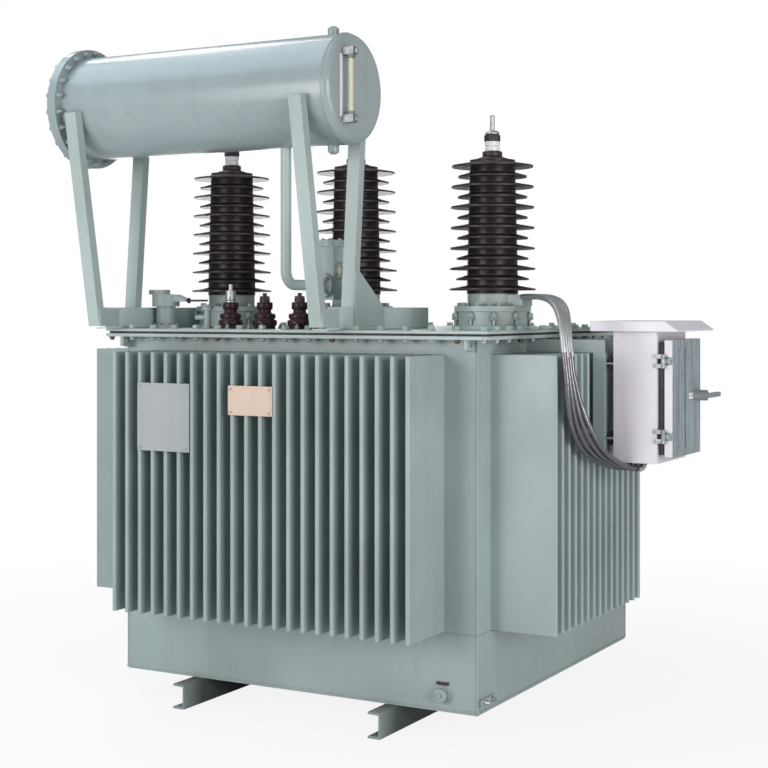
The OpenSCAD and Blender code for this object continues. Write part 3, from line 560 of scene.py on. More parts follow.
@dataclass(frozen=True)
class RubberFinish:
    """Rubber or plastic sheath: matt, with a light bloom and a fine grain."""

    name: str
    colour: tuple[float, float, float]
    roughness: float = 0.62

    def material(self) -> bpy.types.Material:
        """Builds the material and returns it."""
        sheet = Sheet(self.name)
        tone = sheet.mix(sheet.span(sheet.noise(22.0, 4.0), 0.35, 0.7),
                         self.colour, shade(self.colour, 1.8))
        sheet.link(tone, sheet.shader.inputs["Base Color"])
        sheet.link(sheet.span(sheet.noise(40.0), 0.3, 0.7, self.roughness - 0.1, self.roughness + 0.1),
                   sheet.shader.inputs["Roughness"])
        sheet.bump(sheet.noise(220.0, 2.0), 0.12, 0.0005)
        return sheet.material


@dataclass(frozen=True)
class GlassFinish:
    """Gauge glass with oil behind it: clear, tinted, with faint smears."""

    name: str
    colour: tuple[float, float, float]

    def material(self) -> bpy.types.Material:
        """Builds the material and returns it."""
        sheet = Sheet(self.name)
        smear = sheet.span(sheet.noise(30.0, 3.0), 0.45, 0.75)
        sheet.link(sheet.mix(smear, self.colour, shade(self.colour, 0.8)), sheet.shader.inputs["Base Color"])
        sheet.link(sheet.span(smear, 0.0, 1.0, 0.05, 0.25), sheet.shader.inputs["Roughness"])
        sheet.set(Transmission_Weight=0.55, IOR=1.47)
        sheet.bump(smear, 0.03, 0.0005)
        return sheet.material


class Finish(Enum):
    """The finishes of the transformer, each with the record's slot that it belongs to."""

    PAINT = ("paint", PaintFinish("grey_green_paint", (0.280, 0.338, 0.335)))
    PALE = ("pale_paint", PaintFinish("pale_blue_grey_paint", (0.285, 0.336, 0.345), 0.24, 0.05, 0.03, 0.2))
    # Lighter copy of the tank's paint: paler paint on the trestle legs, and painted light on the cover and
    # the parts on it, which stand in shade
    UPPER = ("paint", PaintFinish("lit_upper_paint", (0.340, 0.405, 0.400)))
    # Paler paint on the trestle base channels, made lighter still as painted light, since they stand in shade
    # on the cover
    CHANNEL = ("paint", PaintFinish("lit_channel_paint", (0.490, 0.590, 0.580)))
    # The rails' paint is darker than the tank's, partly as painted shade, and carries painted shade under the
    # tank
    RAIL = ("paint", PaintFinish("rail_paint", (0.240, 0.285, 0.285), 0.55, 0.18, 0.3, under_tank_shade=0.85))
    CASE = ("case_paint", PaintFinish("lavender_grey_paint", (0.66, 0.625, 0.67), 0.38, 0.07, 0.08, 0.2))
    GASKET = ("gasket", RubberFinish("gasket_rubber", (0.025, 0.026, 0.027)))
    SHED = ("porcelain", GlazeFinish("dark_shed_glaze", (0.017, 0.009, 0.013), (0.17, 0.14, 0.16), 0.22))
    BROWN = ("brown_porcelain", GlazeFinish("brown_glaze", (0.032, 0.013, 0.015), (0.14, 0.10, 0.11)))
    ZINC = ("zinc", PlatedFinish("zinc_plate", (0.47, 0.48, 0.49), 0.42))
    GLASS = ("gauge_glass", GlassFinish("gauge_glass", (0.80, 0.76, 0.52)))
    DOOR = ("galvanised", PlatedFinish("galvanised_sheet", (0.31, 0.36, 0.385), 0.40, 0.35,
                                       grain=(22.0, 22.0, 0.5), streaks=0.5))
    CONDUIT = ("conduit", PlatedFinish("conduit_sheath", (0.17, 0.165, 0.185), 0.22, 0.7))
    STEEL = ("zinc", PlatedFinish("dull_steel", (0.30, 0.31, 0.32), 0.42))
    RUST = ("zinc", PlatedFinish("rusted_steel", (0.16, 0.10, 0.07), 0.6, 0.35))
    DARK = ("brown_porcelain", PlatedFinish("dark_bronze", (0.050, 0.034, 0.036), 0.38, 0.3))
    WHITE = ("case_paint", PaintFinish("white_enamel", (0.74, 0.73, 0.74), 0.3, 0.05, 0.05, 0.1, 0.0012))
    PLATE = ("case_paint", PaintFinish("grey_plate_enamel", (0.315, 0.336, 0.342), 0.45, 0.08, 0.0, 0.5,
                                       edge=0.0022))
    PEACH = ("case_paint", PaintFinish("rating_plate_enamel", (0.57, 0.43, 0.35), 0.5, 0.05, 0.0, 0.1,
                                       edge=0.0010))

    @property
    def slot(self) -> str:
        """The record's material slot."""
        return self.value[0]

    def material(self) -> bpy.types.Material:
        """The material, built at its first use."""
        look = self.value[1]
        return bpy.data.materials.get(look.name) or look.material()

    def dress(self, obj: Piece) -> None:
        """Puts this finish on every slot of an object."""
        obj.data.materials.clear()
        obj.data.materials.append(self.material())


def finish_piece(obj: Piece, look: Finish, body: Body = Body.TRANSFORMER,
                 replaced: Sequence[str] = ()) -> Piece:
    """Dresses a new piece, sets it on its body and reports it.

    Args:
        obj: The modelled piece, in place.
        look: Its finish.
        body: The body that it moves with.
        replaced: The solids that it stands for.

    Returns:
        The piece.
    """
    look.dress(obj)
    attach(obj, body.value)
    if replaced:
        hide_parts(*replaced)
    LOG.info("%s: %d faces", obj.name, len(obj.data.polygons))
    return obj


def ripple(radius: float, pitch: float) -> Piece:
    """Models one ripple of a weld bead along X.

    Args:
        radius: Radius of the bead, in metres.
        pitch: Distance from ripple to ripple.

    Returns:
        The ripple as a pattern for copies.
    """
    deselect()
    bpy.ops.mesh.primitive_cylinder_add(
        vertices=8, radius=radius, depth=1.4 * pitch, rotation=(0, math.pi / 2, 0))
    bpy.ops.object.transform_apply(location=True, rotation=True, scale=True)
    pattern = named("ripple_pattern")
    edit_faces(pattern, lambda face: face.normal.x > 0.9)
    bpy.ops.transform.resize(value=(1.0, 0.72, 0.72))
    return named("ripple_pattern")


def bead(name: str, start: Point, end: Point, radius: float = 0.004) -> Piece:
    """Lays a straight weld bead by repeating a ripple.

    Args:
        name: Name of the bead.
        start: One end, in metres.
        end: The other end.
        radius: Radius of the bead.

    Returns:
        The bead.
    """
    line = Vector(end) - Vector(start)
    pitch = 1.7 * radius
    pattern = ripple(radius, pitch)
    activate(pattern)
    run = pattern.modifiers.new("run", "ARRAY")
    run.use_relative_offset = False
    run.use_constant_offset = True
    run.constant_offset_displace = (pitch, 0.0, 0.0)
    run.count = max(2, int(line.length / pitch))
    bpy.ops.object.modifier_apply(modifier=run.name)
    turn = line.to_track_quat("X", "Z").to_matrix().to_4x4()
    return moved(named(name), Matrix.Translation(start) @ turn)


def welds(name: str, lines: Sequence[tuple[Point, Point]], look: Finish, radius: float = 0.004) -> None:
    """Lays several beads and sets them on the transformer as one piece.

    Args:
        name: Name of the piece.
        lines: Start and end of each bead, in metres.
        look: Finish of the beads.
        radius: Radius of the beads.
    """
    beads = [bead(f"{name}_{k}", a, b, radius) for k, (a, b) in enumerate(lines)]
    finish_piece(smooth(join(name, beads), 60), look)


def rod(radius: float, length: float, sides: int = 12) -> Piece:
    """Models a round bar with chamfered ends, standing on the origin, as a pattern for copies."""
    chamfer = min(radius, length) * 0.25
    profile = [(0, 0), (radius - chamfer, 0), (radius, chamfer), (radius, length - chamfer),
               (radius - chamfer, length), (0, length)]
    return turned("rod_pattern", profile, sides)


def corners(node: str) -> tuple[Vector, Vector]:
    """Gives the lowest and highest corner of a solid as vectors."""
    low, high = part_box(node)
    return Vector(low), Vector(high)


def foot(node: str) -> Vector:
    """Gives the middle of the underside of a solid's box."""
    low, high = corners(node)
    return Vector(((low.x + high.x) / 2, (low.y + high.y) / 2, low.z))


def screw(base: float, rim: tuple[float, float], crown: tuple[float, float], height: float,
          sides: int = 14) -> Piece:
    """Models a domed screw head.

    Args:
        base: Radius of its underside, in metres.
        rim: Radius and height of its rim.
        crown: Radius and height of the edge of its crown.
        height: Its whole height.
        sides: Steps of the full turn.

    Returns:
        The head as a pattern for copies, standing on the origin.
    """
    return turned("screw_pattern", [(0, 0), (base, 0), rim, crown, (0, height)], sides)


@dataclass
class TankSeams:
    """Weld beads of the tank and its rails, the upset edges of the fins, and the bolts of the earth pad."""

    bead_r: float = 0.0035
    pad_bead_r: float = 0.003
    flange_gap: float = 0.001
    rail_inset: float = 0.01
    fin_top: float = 1.308
    edge_z: tuple[float, float] = (0.0006, 0.0066)
    edge_out: float = 0.004
    edge_bevel: float = 0.0012
    fin_x: float = 0.620
    fin_y0: float = -0.612
    fin_y1: float = 0.222
    bracket_y: tuple[float, float] = (-0.33, 0.02)
    earth_bolt_y: float = 0.028
    earth_spin: float = 0.3

    def build(self) -> None:
        """Lays the fin edges and the beads of the tank and its rails."""
        self.fin_edges()
        low, high = corners("tank_skirt")
        top = corners("rim_flange")[0].z - self.flange_gap
        uprights = [((x, y, low.z), (x, y, top)) for x in (low.x, high.x) for y in (low.y, high.y)]
        welds("corner_welds", uprights, Finish.PAINT, self.bead_r)
        rounds = []
        for z in (low.z, high.z):
            rounds += [((low.x, y, z), (high.x, y, z)) for y in (low.y, high.y)]
            rounds += [((x, low.y, z), (x, high.y, z)) for x in (low.x, high.x)]
        welds("skirt_welds", rounds, Finish.PAINT, self.bead_r)
        y0, y1 = low.y + self.rail_inset, high.y - self.rail_inset
        rail_lines = []
        for node in ("base_rail_left", "base_rail_right"):
            rail_low, rail_high = corners(node)
            rail_lines += [((x, y0, rail_high.z), (x, y1, rail_high.z)) for x in (rail_low.x, rail_high.x)]
        welds("rail_welds", rail_lines, Finish.RAIL, self.bead_r)

    def fin_edges(self) -> None:
        """Lays a narrow upset edge along the top of the fins on all four walls, clear of the bracket, in the
        lighter paint as a painted highlight along the fin tops.
        """
        low, high = corners("tank_skirt")
        z0, z1 = (self.fin_top + z for z in self.edge_z)
        out = self.edge_out
        bars = [slab(f"fin_edge_{k}", (-self.fin_x, y0, z0), (self.fin_x, y0 + out, z1), self.edge_bevel, 1)
                for k, y0 in enumerate((low.y - out - HAIR, high.y + HAIR))]
        runs = ((low.x - out - HAIR, self.fin_y0, self.fin_y1),
                (high.x + HAIR, self.fin_y0, self.bracket_y[0]),
                (high.x + HAIR, self.bracket_y[1], self.fin_y1))
        bars += [slab(f"fin_edge_side_{k}", (x0, y0, z0), (x0 + out, y1, z1), self.edge_bevel, 1)
                 for k, (x0, y0, y1) in enumerate(runs)]
        # Painted highlight: the lighter paint gives the bright line along the fin tops
        finish_piece(join("fin_edges", bars), Finish.UPPER)

    def dress_earth(self) -> None:
        """Puts the earth bolts on their pad, and a weld above and below the pad."""
        low, high = corners("earth_pad")
        middle = (low + high) / 2
        spots = [place((high.x, middle.y + side * self.earth_bolt_y, middle.z), Axis.RIGHT, self.earth_spin)
                 for side in (-1, 1)]
        bolt = hex_bolt(across=0.018, height=0.008, washer=0.021, stud=0.008)
        finish_piece(scatter("earth_bolts", bolt, spots), Finish.ZINC)
        lines = [((low.x, low.y, z), (low.x, high.y, z)) for z in (low.z, high.z)]
        welds("earth_welds", lines, Finish.PAINT, self.pad_bead_r)


@dataclass
class CoverJoint:
    """Bolts all round the cover, their shanks in the gap above the rim, and the nuts under the rim."""

    inset: float = 0.021
    pitch: float = 0.098
    across: float = 0.027
    head_room: float = 0.75
    head_spin: float = 0.7
    shank_r: float = 0.010
    nut_spin: float = 0.9
    rusty_every: int = 5
    lug_x: float = 0.725
    lug_y: float = 0.70
    arm_x: float = 0.7
    arms_y: tuple[float, float] = (-0.297, -0.029)
    nut_room: float = 0.028

    def spots(self) -> list[Point]:
        """Gives the bolt places on the cover's top."""
        low, high = corners("tank_cover")
        x0, x1 = low.x + self.inset, high.x - self.inset
        y0, y1 = low.y + self.inset, high.y - self.inset
        around = [(x, y) for y in (y0, y1) for x in spread(x0, x1, self.pitch)]
        around += [(x, y) for x in (x0, x1) for y in spread(y0, y1, self.pitch)[1:-1]]
        return [(x, y, high.z) for x, y in around]

    def is_free(self, spot: Point) -> bool:
        """Says whether a bolt head has room beside the trestle bases."""
        reach = self.across * self.head_room
        for node in TRESTLE_BASES:
            low, high = corners(node)
            if low.x - reach < spot[0] < high.x + reach and low.y - reach < spot[1] < high.y + reach:
                return False
        return True

    def has_nut(self, x: float, y: float) -> bool:
        """Says whether a nut under the flange has room beside the lifting lugs and the bracket arms."""
        at_lug = abs(abs(x) - self.lug_x) < self.nut_room and abs(y) > self.lug_y
        at_arm = x > self.arm_x and min(abs(y - arm) for arm in self.arms_y) < self.nut_room
        return not (at_lug or at_arm)

    def build(self) -> None:
        """Sets the heads, the shanks and the nuts, some of them rusty."""
        spots = self.spots()
        heads = [place(spot, Axis.UP, self.head_spin * k) for k, spot in enumerate(spots)
                 if self.is_free(spot)]
        head = hex_bolt(self.across, height=0.011, washer=0.034)
        finish_piece(scatter("cover_bolts", head, heads), Finish.PAINT)
        low, high = corners("cover_gasket")
        shanks = [place((x, y, low.z + HAIR)) for x, y, _ in spots]
        shank = rod(self.shank_r, high.z - low.z - 2 * HAIR, 10)
        finish_piece(scatter("cover_shanks", shank, shanks), Finish.RUST)
        under = corners("rim_flange")[0].z
        nuts = [place((x, y, under), Axis.DOWN, self.nut_spin * x) for x, y, _ in spots if self.has_nut(x, y)]
        sound = [m for k, m in enumerate(nuts) if k % self.rusty_every]
        rusty = nuts[::self.rusty_every]
        for name, look, chosen in (("cover_nuts", Finish.PAINT, sound), ("rusty_nuts", Finish.RUST, rusty)):
            nut = hex_bolt(across=0.022, height=0.008, washer=0.026, stud=0.003)
            finish_piece(scatter(name, nut, chosen), look)


@dataclass
class LugWelds:
    """Weld fillets of the lifting lugs on the walls."""

    bead_r: float = 0.003
    reach: float = 0.060
    plate_t: float = 0.014
    span: tuple[float, float] = (0.01, 0.034)

    def build(self) -> None:
        """Lays a bead down each side of the front and back lugs."""
        low, high = corners("lifting_lugs")
        z0, z1 = (low.z + z for z in self.span)
        lines = []
        for y, side in ((low.y, 1), (high.y, -1)):
            wall = y + side * self.reach
            for x in (low.x, low.x + self.plate_t, high.x - self.plate_t, high.x):
                lines.append(((x, wall, z0), (x, wall, z1)))
        welds("lug_welds", lines, Finish.PAINT, self.bead_r)


@dataclass
class HighVoltageSet:
    """Clamps of the turrets and the terminals on the three tall bushings."""

    clamp_count: int = 10
    clamp_ring: float = 0.1415
    clamp_start: float = 0.16
    stud_z: float = 0.014
    nut_z: float = 0.042
    claw_z: float = 0.034
    flange_count: int = 10
    flange_ring: float = 0.120
    flange_start: float = 0.314
    flange_z: float = 0.085
    box_turret: int = 3
    box_reach: float = 0.085
    cap: Profile = (
        (0, 0), (0.063, 0), (0.064, 0.003), (0.034, 0.014), (0.036, 0.0145), (0.037, 0.017), (0.037, 0.029),
        (0.035, 0.032), (0, 0.032))
    barrel: Profile = (
        (0, 0.0322), (0.026, 0.0322), (0.0275, 0.034), (0.0275, 0.046), (0.0255, 0.048), (0.0255, 0.051),
        (0.0275, 0.053), (0.0275, 0.067), (0.026, 0.0688), (0, 0.0688))
    terminal_nut_z: float = 0.069
    dome: Profile = (
        (0, 0.0952), (0.026, 0.0952), (0.0272, 0.098), (0.025, 0.103), (0.0175, 0.108), (0.0085, 0.109))
    thread_z: float = 0.110
    thread_pitch: float = 0.003
    thread_turns: int = 18
    root_r: float = 0.0082
    crest_r: float = 0.0090
    tip: Profile = ((0.0070, 0.1665), (0, 0.1668))

    def feet(self, prefix: str) -> list[Vector]:
        """Gives the foot of each solid of the set."""
        return [foot(prefix + phase) for phase in PHASES]

    def clamps(self) -> None:
        """Stands clamp studs with nuts and claws round each turret."""
        circle = [matrix for at in self.feet("hv_turret_")
                  for matrix in ring(at, self.clamp_ring, self.clamp_count, Axis.UP, self.clamp_start)]
        studs, nuts, claws = ([m @ Matrix.Translation((0, 0, z)) for m in circle]
                              for z in (self.stud_z, self.nut_z, self.claw_z))
        finish_piece(scatter("clamp_studs", rod(radius=0.006, length=0.050, sides=10), studs), Finish.STEEL)
        nut = hex_bolt(across=0.026, height=0.012, washer=0.028)
        finish_piece(scatter("clamp_nuts", nut, nuts), Finish.PAINT)
        claw = slab("claw_pattern", (-0.014, -0.015, 0.0), (0.010, 0.015, 0.0075), 0.0015, 1)
        finish_piece(scatter("clamp_claws", claw, claws), Finish.PAINT)

    def flange_bolts(self) -> None:
        """Bolts the upper flange of each turret, clear of the current transformer box."""
        spots = []
        for number, at in enumerate(self.feet("hv_turret_"), 1):
            centre = at + Vector((0, 0, self.flange_z))
            circle = ring(centre, self.flange_ring, self.flange_count, Axis.UP, self.flange_start)
            if number == self.box_turret:
                circle = [m for m in circle if m.translation.x < at.x + self.box_reach]
            spots += circle
        bolt = hex_bolt(across=0.022, height=0.009, washer=0.026)
        finish_piece(scatter("flange_bolts", bolt, spots), Finish.PAINT)

    def terminals(self) -> None:
        """Builds each terminal: dark cap, white barrel, dark nut, and a threaded stud in its dome."""
        feet = [place(tuple(at)) for at in self.feet("hv_terminal_")]
        cap = turned("cap_pattern", self.cap, 40)
        finish_piece(scatter("terminal_caps", cap, feet), Finish.DARK)
        barrel = turned("barrel_pattern", self.barrel, 40)
        finish_piece(scatter("terminal_barrels", barrel, feet), Finish.WHITE)
        nut = moved(hex_bolt(across=0.060, height=0.0225), Matrix.Translation((0, 0, self.terminal_nut_z)))
        finish_piece(scatter("terminal_nuts", nut, feet), Finish.DARK)
        profile = list(self.dome)
        for k in range(self.thread_turns):
            z = self.thread_z + k * self.thread_pitch
            profile += [(self.root_r, z), (self.crest_r, z + self.thread_pitch / 2)]
        profile += self.tip
        stud = turned("stud_pattern", profile, 20, 60)
        finish_piece(scatter("terminal_studs", stud, feet), Finish.ZINC,
                     replaced=[f"hv_terminal_{phase}" for phase in PHASES])

    def build(self) -> None:
        """Builds the whole set."""
        self.clamps()
        self.flange_bolts()
        self.terminals()


@dataclass
class LowVoltageSet:
    """The three small bushings as stacks of rings, with their nuts and clamp bolts."""

    profile: Profile = (
        (0, 0), (0.040, 0), (0.040, 0.010), (0.0445, 0.012), (0.046, 0.015), (0.046, 0.029), (0.0445, 0.032),
        (0.037, 0.034), (0.036, 0.037), (0.040, 0.039), (0.041, 0.042), (0.041, 0.052), (0.0395, 0.055),
        (0.026, 0.059), (0.024, 0.064), (0.024, 0.070), (0.028, 0.073), (0.030, 0.076), (0.030, 0.095),
        (0.0285, 0.098), (0.026, 0.0995), (0, 0.0995))
    bolt_ring: float = 0.060
    bolt_count: int = 4
    nut_z: float = 0.006
    spin: float = 0.4
    capped: str = "1"

    def bodies(self) -> None:
        """Turns each bushing: foot, disc, neck and cap."""
        for phase in PHASES:
            node = f"lv_bushing_{phase}"
            at = foot(node)
            body = turned(f"lv_bushing_body_{phase}", self.profile)
            finish_piece(moved(body, place((at.x, at.y, at.z + HAIR))), Finish.BROWN, replaced=[node])

    def build(self) -> None:
        """Builds the bushings, puts a nut on the foot of each stud, and bolts the bushings down."""
        self.bodies()
        nuts, bolts = [], []
        for phase in PHASES:
            low, high = corners(f"lv_terminal_{phase}")
            middle = (low + high) / 2
            nuts.append(place((middle.x, middle.y, low.z + self.nut_z), Axis.UP, self.spin))
            if phase != self.capped:
                Finish.DARK.dress(frame["nodes"][f"lv_terminal_{phase}"])
            cover_z = corners(f"lv_bushing_{phase}")[0].z
            bolts += ring((middle.x, middle.y, cover_z), self.bolt_ring, self.bolt_count, Axis.UP, self.spin)
        nut = hex_bolt(across=0.040, height=0.012, washer=0.042)
        finish_piece(scatter("lv_nuts", nut, nuts), Finish.DARK)
        bolt = hex_bolt(across=0.019, height=0.009, washer=0.022, stud=0.006)
        finish_piece(scatter("lv_clamp_bolts", bolt, bolts), Finish.STEEL)


@dataclass
class Conservator:
    """Bolts of the end cover, welds of the barrel, heads of its plugs, and the oil gauge's nuts and scale."""

    bolt_count: int = 22
    bolt_ring: float = 0.209
    head_out: float = 0.006
    head_x: float = 0.0065
    nut_x: float = 0.022
    ripple_r: float = 0.003
    ripple_step: float = 0.0062
    flange_x: float = 0.0225
    seam_r: float = 0.0022
    seam_ends: tuple[float, float] = (0.03, 0.01)
    scale_y: tuple[float, float] = (-0.013, 0.004)
    scale_x: float = 0.0023
    scale_over: float = 0.006
    cap_z: float = 0.0135

    def axis_point(self, x: float) -> Vector:
        """Gives the barrel axis at one X."""
        low, high = corners("conservator_head")
        return Vector((x, (low.y + high.y) / 2, (low.z + high.z) / 2))

    def end_bolts(self) -> None:
        """Bolts the end cover to the barrel's flange: heads outside, nuts with thread inside."""
        low, high = corners("conservator_end_cover")
        heads = ring(self.axis_point(low.x + self.head_x), self.bolt_ring + self.head_out, self.bolt_count,
                     Axis.LEFT)
        finish_piece(scatter("end_cover_heads", hex_bolt(across=0.020, height=0.008), heads), Finish.PALE)
        nuts = ring(self.axis_point(high.x + self.nut_x), self.bolt_ring, self.bolt_count, Axis.RIGHT)
        nut = hex_bolt(across=0.020, height=0.010, washer=0.023, stud=0.008)
        finish_piece(scatter("end_cover_nuts", nut, nuts), Finish.PALE)

    def seams(self) -> None:
        """Lays the weld of the right head, of the flange, and the seam along the barrel."""
        low, high = corners("conservator_barrel")
        axis = self.axis_point(0)
        radius = axis.z - corners("conservator_head")[0].z
        count = int(2 * math.pi * radius / self.ripple_step)
        turn = Matrix.Rotation(math.pi / 2, 4, "Z")
        for name, x in (("head_seam", high.x), ("flange_seam", low.x + self.flange_x)):
            places = [m @ turn for m in ring(self.axis_point(x), radius, count, Axis.RIGHT)]
            seam = scatter(name, ripple(self.ripple_r, self.ripple_step), places)
            finish_piece(smooth(seam, 60), Finish.PALE)
        top = axis.z + radius
        x0, x1 = low.x + self.seam_ends[0], high.x - self.seam_ends[1]
        welds("barrel_seam", [((x0, axis.y, top), (x1, axis.y, top))], Finish.PALE, self.seam_r)

    def gauge(self) -> None:
        """Puts a union nut at each end of the gauge glass, a bare scale behind it and a cap on each block."""
        low, high = corners("gauge_fittings")
        glass_low, glass_high = corners("gauge_glass")
        middle = (glass_low + glass_high) / 2
        unions = [place((middle.x, middle.y, glass_low.z + TOUCH)),
                  place((middle.x, middle.y, glass_high.z - TOUCH), Axis.DOWN)]
        finish_piece(scatter("gauge_unions", hex_bolt(across=0.028, height=0.010), unions), Finish.STEEL)
        Finish.STEEL.dress(frame["nodes"]["gauge_fittings"])
        y0, y1 = (low.y + y for y in self.scale_y)
        scale = slab("gauge_scale", (low.x + HAIR, y0, glass_low.z - self.scale_over),
                     (low.x + self.scale_x, y1, glass_high.z + self.scale_over), 0.0008, 1)
        finish_piece(scale, Finish.WHITE)
        caps = [place((high.x + TOUCH, middle.y, z), Axis.RIGHT)
                for z in (low.z + self.cap_z, high.z - self.cap_z)]
        finish_piece(scatter("gauge_caps", hex_bolt(across=0.017, height=0.008), caps), Finish.ZINC)

    def plugs(self) -> None:
        """Puts a hexagon head on the top and the bottom plug."""
        low, high = corners("conservator_plugs")
        x, y = (low.x + high.x) / 2, (low.y + high.y) / 2
        heads = [place((x, y, high.z - TOUCH)), place((x, y, low.z + TOUCH), Axis.DOWN)]
        finish_piece(scatter("plug_heads", hex_bolt(across=0.024, height=0.006), heads), Finish.PALE)

    def build(self) -> None:
        """Builds the conservator's details."""
        self.end_bolts()
        self.seams()
        self.gauge()
        self.plugs()


@dataclass
class Trestles:
    """Welds of the two base channels on the cover."""

    front_y: float = -0.775
    bead_r: float = 0.003

    def build(self) -> None:
        """Lays a bead down both sides and across the back of each channel."""
        lines = []
        for node in TRESTLE_BASES:
            low, high = corners(node)
            lines += [((x, self.front_y, low.z), (x, high.y, low.z)) for x in (low.x, high.x)]
            lines.append(((low.x, high.y, low.z), (high.x, high.y, low.z)))
        welds("trestle_welds", lines, Finish.PAINT, self.bead_r)


@dataclass
class OilLine:
    """Flange bolts of the oil line, and the windows and cap screws of the gas relay."""

    turn: float = -6.0
    relay_z: float = 1.550
    relay_h: float = 0.196
    flange_y: float = 0.0583
    flange_ring: float = 0.033
    window_share: float = 0.55
    window_x: float = 0.0308
    rim_t: float = 0.0045
    rim_ring: float = 0.0275
    cap_ring: float = 0.036
    pane: Profile = ((0, 0), (0.0185, 0), (0.0185, 0.002), (0.016, 0.003), (0, 0.003))
    rim: Profile = (
        (0.0188, 0), (0.0207, 0), (0.0207, 0.0045), (0.0325, 0.0045), (0.0335, 0.0055), (0.0335, 0.008),
        (0.0325, 0.009), (0.0195, 0.009), (0.0188, 0.008), (0.0188, 0))

    def frame_at(self) -> Matrix:
        """Gives the place of the relay's middle on the pipe axis, turned along the run."""
        low, high = corners("gas_relay")
        middle = (low + high) / 2
        turn = Matrix.Rotation(math.radians(self.turn), 4, "Z")
        return Matrix.Translation((middle.x, middle.y, self.relay_z)) @ turn

    def flange_bolts(self) -> None:
        """Bolts the two pairs of flanges beside the relay."""
        here = self.frame_at()
        spots = []
        for side, axis in ((-1, Axis.FRONT), (1, Axis.BACK)):
            circle = ring((0, side * self.flange_y, 0), self.flange_ring, 4, axis, math.pi / 4)
            spots += [here @ m for m in circle]
        bolt = hex_bolt(across=0.016, height=0.008, washer=0.018, stud=0.006)
        finish_piece(scatter("oil_flange_bolts", bolt, spots), Finish.STEEL)

    def relay(self) -> None:
        """Sets a glazed window with a screwed rim on both sides of the relay, and screws on its cap."""
        here = self.frame_at()
        low, high = corners("gas_relay")
        window_z = low.z + self.relay_h * self.window_share - self.relay_z
        lift = Matrix.Translation((0, 0, self.rim_t))
        windows, screws = [], []
        for axis, x in ((Axis.LEFT, -self.window_x), (Axis.RIGHT, self.window_x)):
            windows.append(here @ place((x, 0, window_z), axis))
            circle = ring((x + math.copysign(self.rim_t, x), 0, window_z), self.rim_ring, 6, axis)
            screws += [here @ m @ lift for m in circle]
        finish_piece(scatter("relay_panes", turned("pane_pattern", self.pane, 28), windows), Finish.GLASS)
        finish_piece(scatter("relay_rims", turned("rim_pattern", self.rim, 32), windows), Finish.PAINT)
        finish_piece(scatter("relay_rim_screws", hex_bolt(across=0.007, height=0.003), screws), Finish.STEEL)
        cap = [here @ m for m in ring((0, 0, high.z - self.relay_z), self.cap_ring, 6, Axis.UP)]
        finish_piece(scatter("relay_cap_screws", hex_bolt(across=0.011, height=0.005), cap), Finish.ZINC)

    def build(self) -> None:
        """Builds the oil line's details."""
        self.flange_bolts()
        self.relay()


@dataclass
class CoverFittings:
    """Bolts of the relief device, its dark trip rod, the valve's wheel, and the drain's details."""

    relief_reach: float = 0.1065
    relief_ring: float = 0.0435
    relief_foot: float = 0.012
    rod_z: float = 1.4968
    collar: Profile = ((0, 0), (0.009, 0), (0.011, 0.002), (0.011, 0.005), (0.009, 0.007), (0, 0.007))
    stem_x: float = 0.022
    wheel: Profile = (
        (0.020, 0.002), (0.0225, 0), (0.025, 0.002), (0.025, 0.007), (0.0225, 0.009), (0.020, 0.007),
        (0.020, 0.002))
    hub: Profile = ((0, HAIR), (0.008, HAIR), (0.008, 0.008), (0.006, 0.010), (0, 0.010))
    key_half: float = 0.007
    key_out: float = 0.009
    dark_slab_half: float = 0.023
    dark_slab_depth: float = 0.006
    dark_slab_z: tuple[float, float] = (0.003, 0.014)

    def relief(self) -> None:
        """Bolts the relief device down and lays its trip rod to the valve."""
        low, high = corners("relief_device")
        middle = Vector((high.x - self.relief_reach, (low.y + high.y) / 2, low.z))
        circle = ring((middle.x, middle.y, low.z + self.relief_foot), self.relief_ring, 8, Axis.UP, 0.2)
        finish_piece(scatter("relief_bolts", hex_bolt(across=0.010, height=0.007), circle), Finish.STEEL)
        start = place((high.x, middle.y, self.rod_z), Axis.RIGHT)
        bar = scatter("relief_rod", rod(radius=0.004, length=0.092, sides=10), [start])
        finish_piece(bar, Finish.DARK)
        knob = turned("relief_rod_collar", self.collar, 20)
        finish_piece(moved(knob, start), Finish.DARK)

    def valve(self) -> None:
        """Puts a spoked hand wheel on the cover valve."""
        low, high = corners("cover_valve")
        stem = (high.x - self.stem_x, (low.y + high.y) / 2, high.z)
        wheel = turned("valve_wheel", self.wheel, 28)
        hub = turned("valve_hub", self.hub, 16)
        spokes = [slab(f"valve_spoke_{k}", (-0.0205, -0.002, 0.002), (0.0205, 0.002, 0.006), 0.0008, 1)
                  for k in range(2)]
        moved(spokes[1], Matrix.Rotation(math.pi / 2, 4, "Z"))
        finish_piece(moved(join("valve_wheel", [wheel, hub, *spokes]), place(stem)), Finish.PAINT)

    def drain(self) -> None:
        """Puts a square key on the drain valve, and a thin dark slab above it."""
        low, high = corners("drain_valve")
        middle = (low + high) / 2
        half = self.key_half
        key = slab("drain_key", (middle.x - half, low.y - self.key_out, middle.z - half),
                   (middle.x + half, low.y - TOUCH, middle.z + half), 0.0015)
        finish_piece(key, Finish.PAINT)
        # A thin dark slab stands above the drain
        z0, z1 = (high.z + z for z in self.dark_slab_z)
        dark_slab = slab("drain_dark_slab", (middle.x - self.dark_slab_half, high.y - self.dark_slab_depth, z0),
                     (middle.x + self.dark_slab_half, high.y, z1), 0.0015)
        finish_piece(dark_slab, Finish.DARK)

    def build(self) -> None:
        """Builds the fittings' details."""
        self.relief()
        self.valve()
        self.drain()


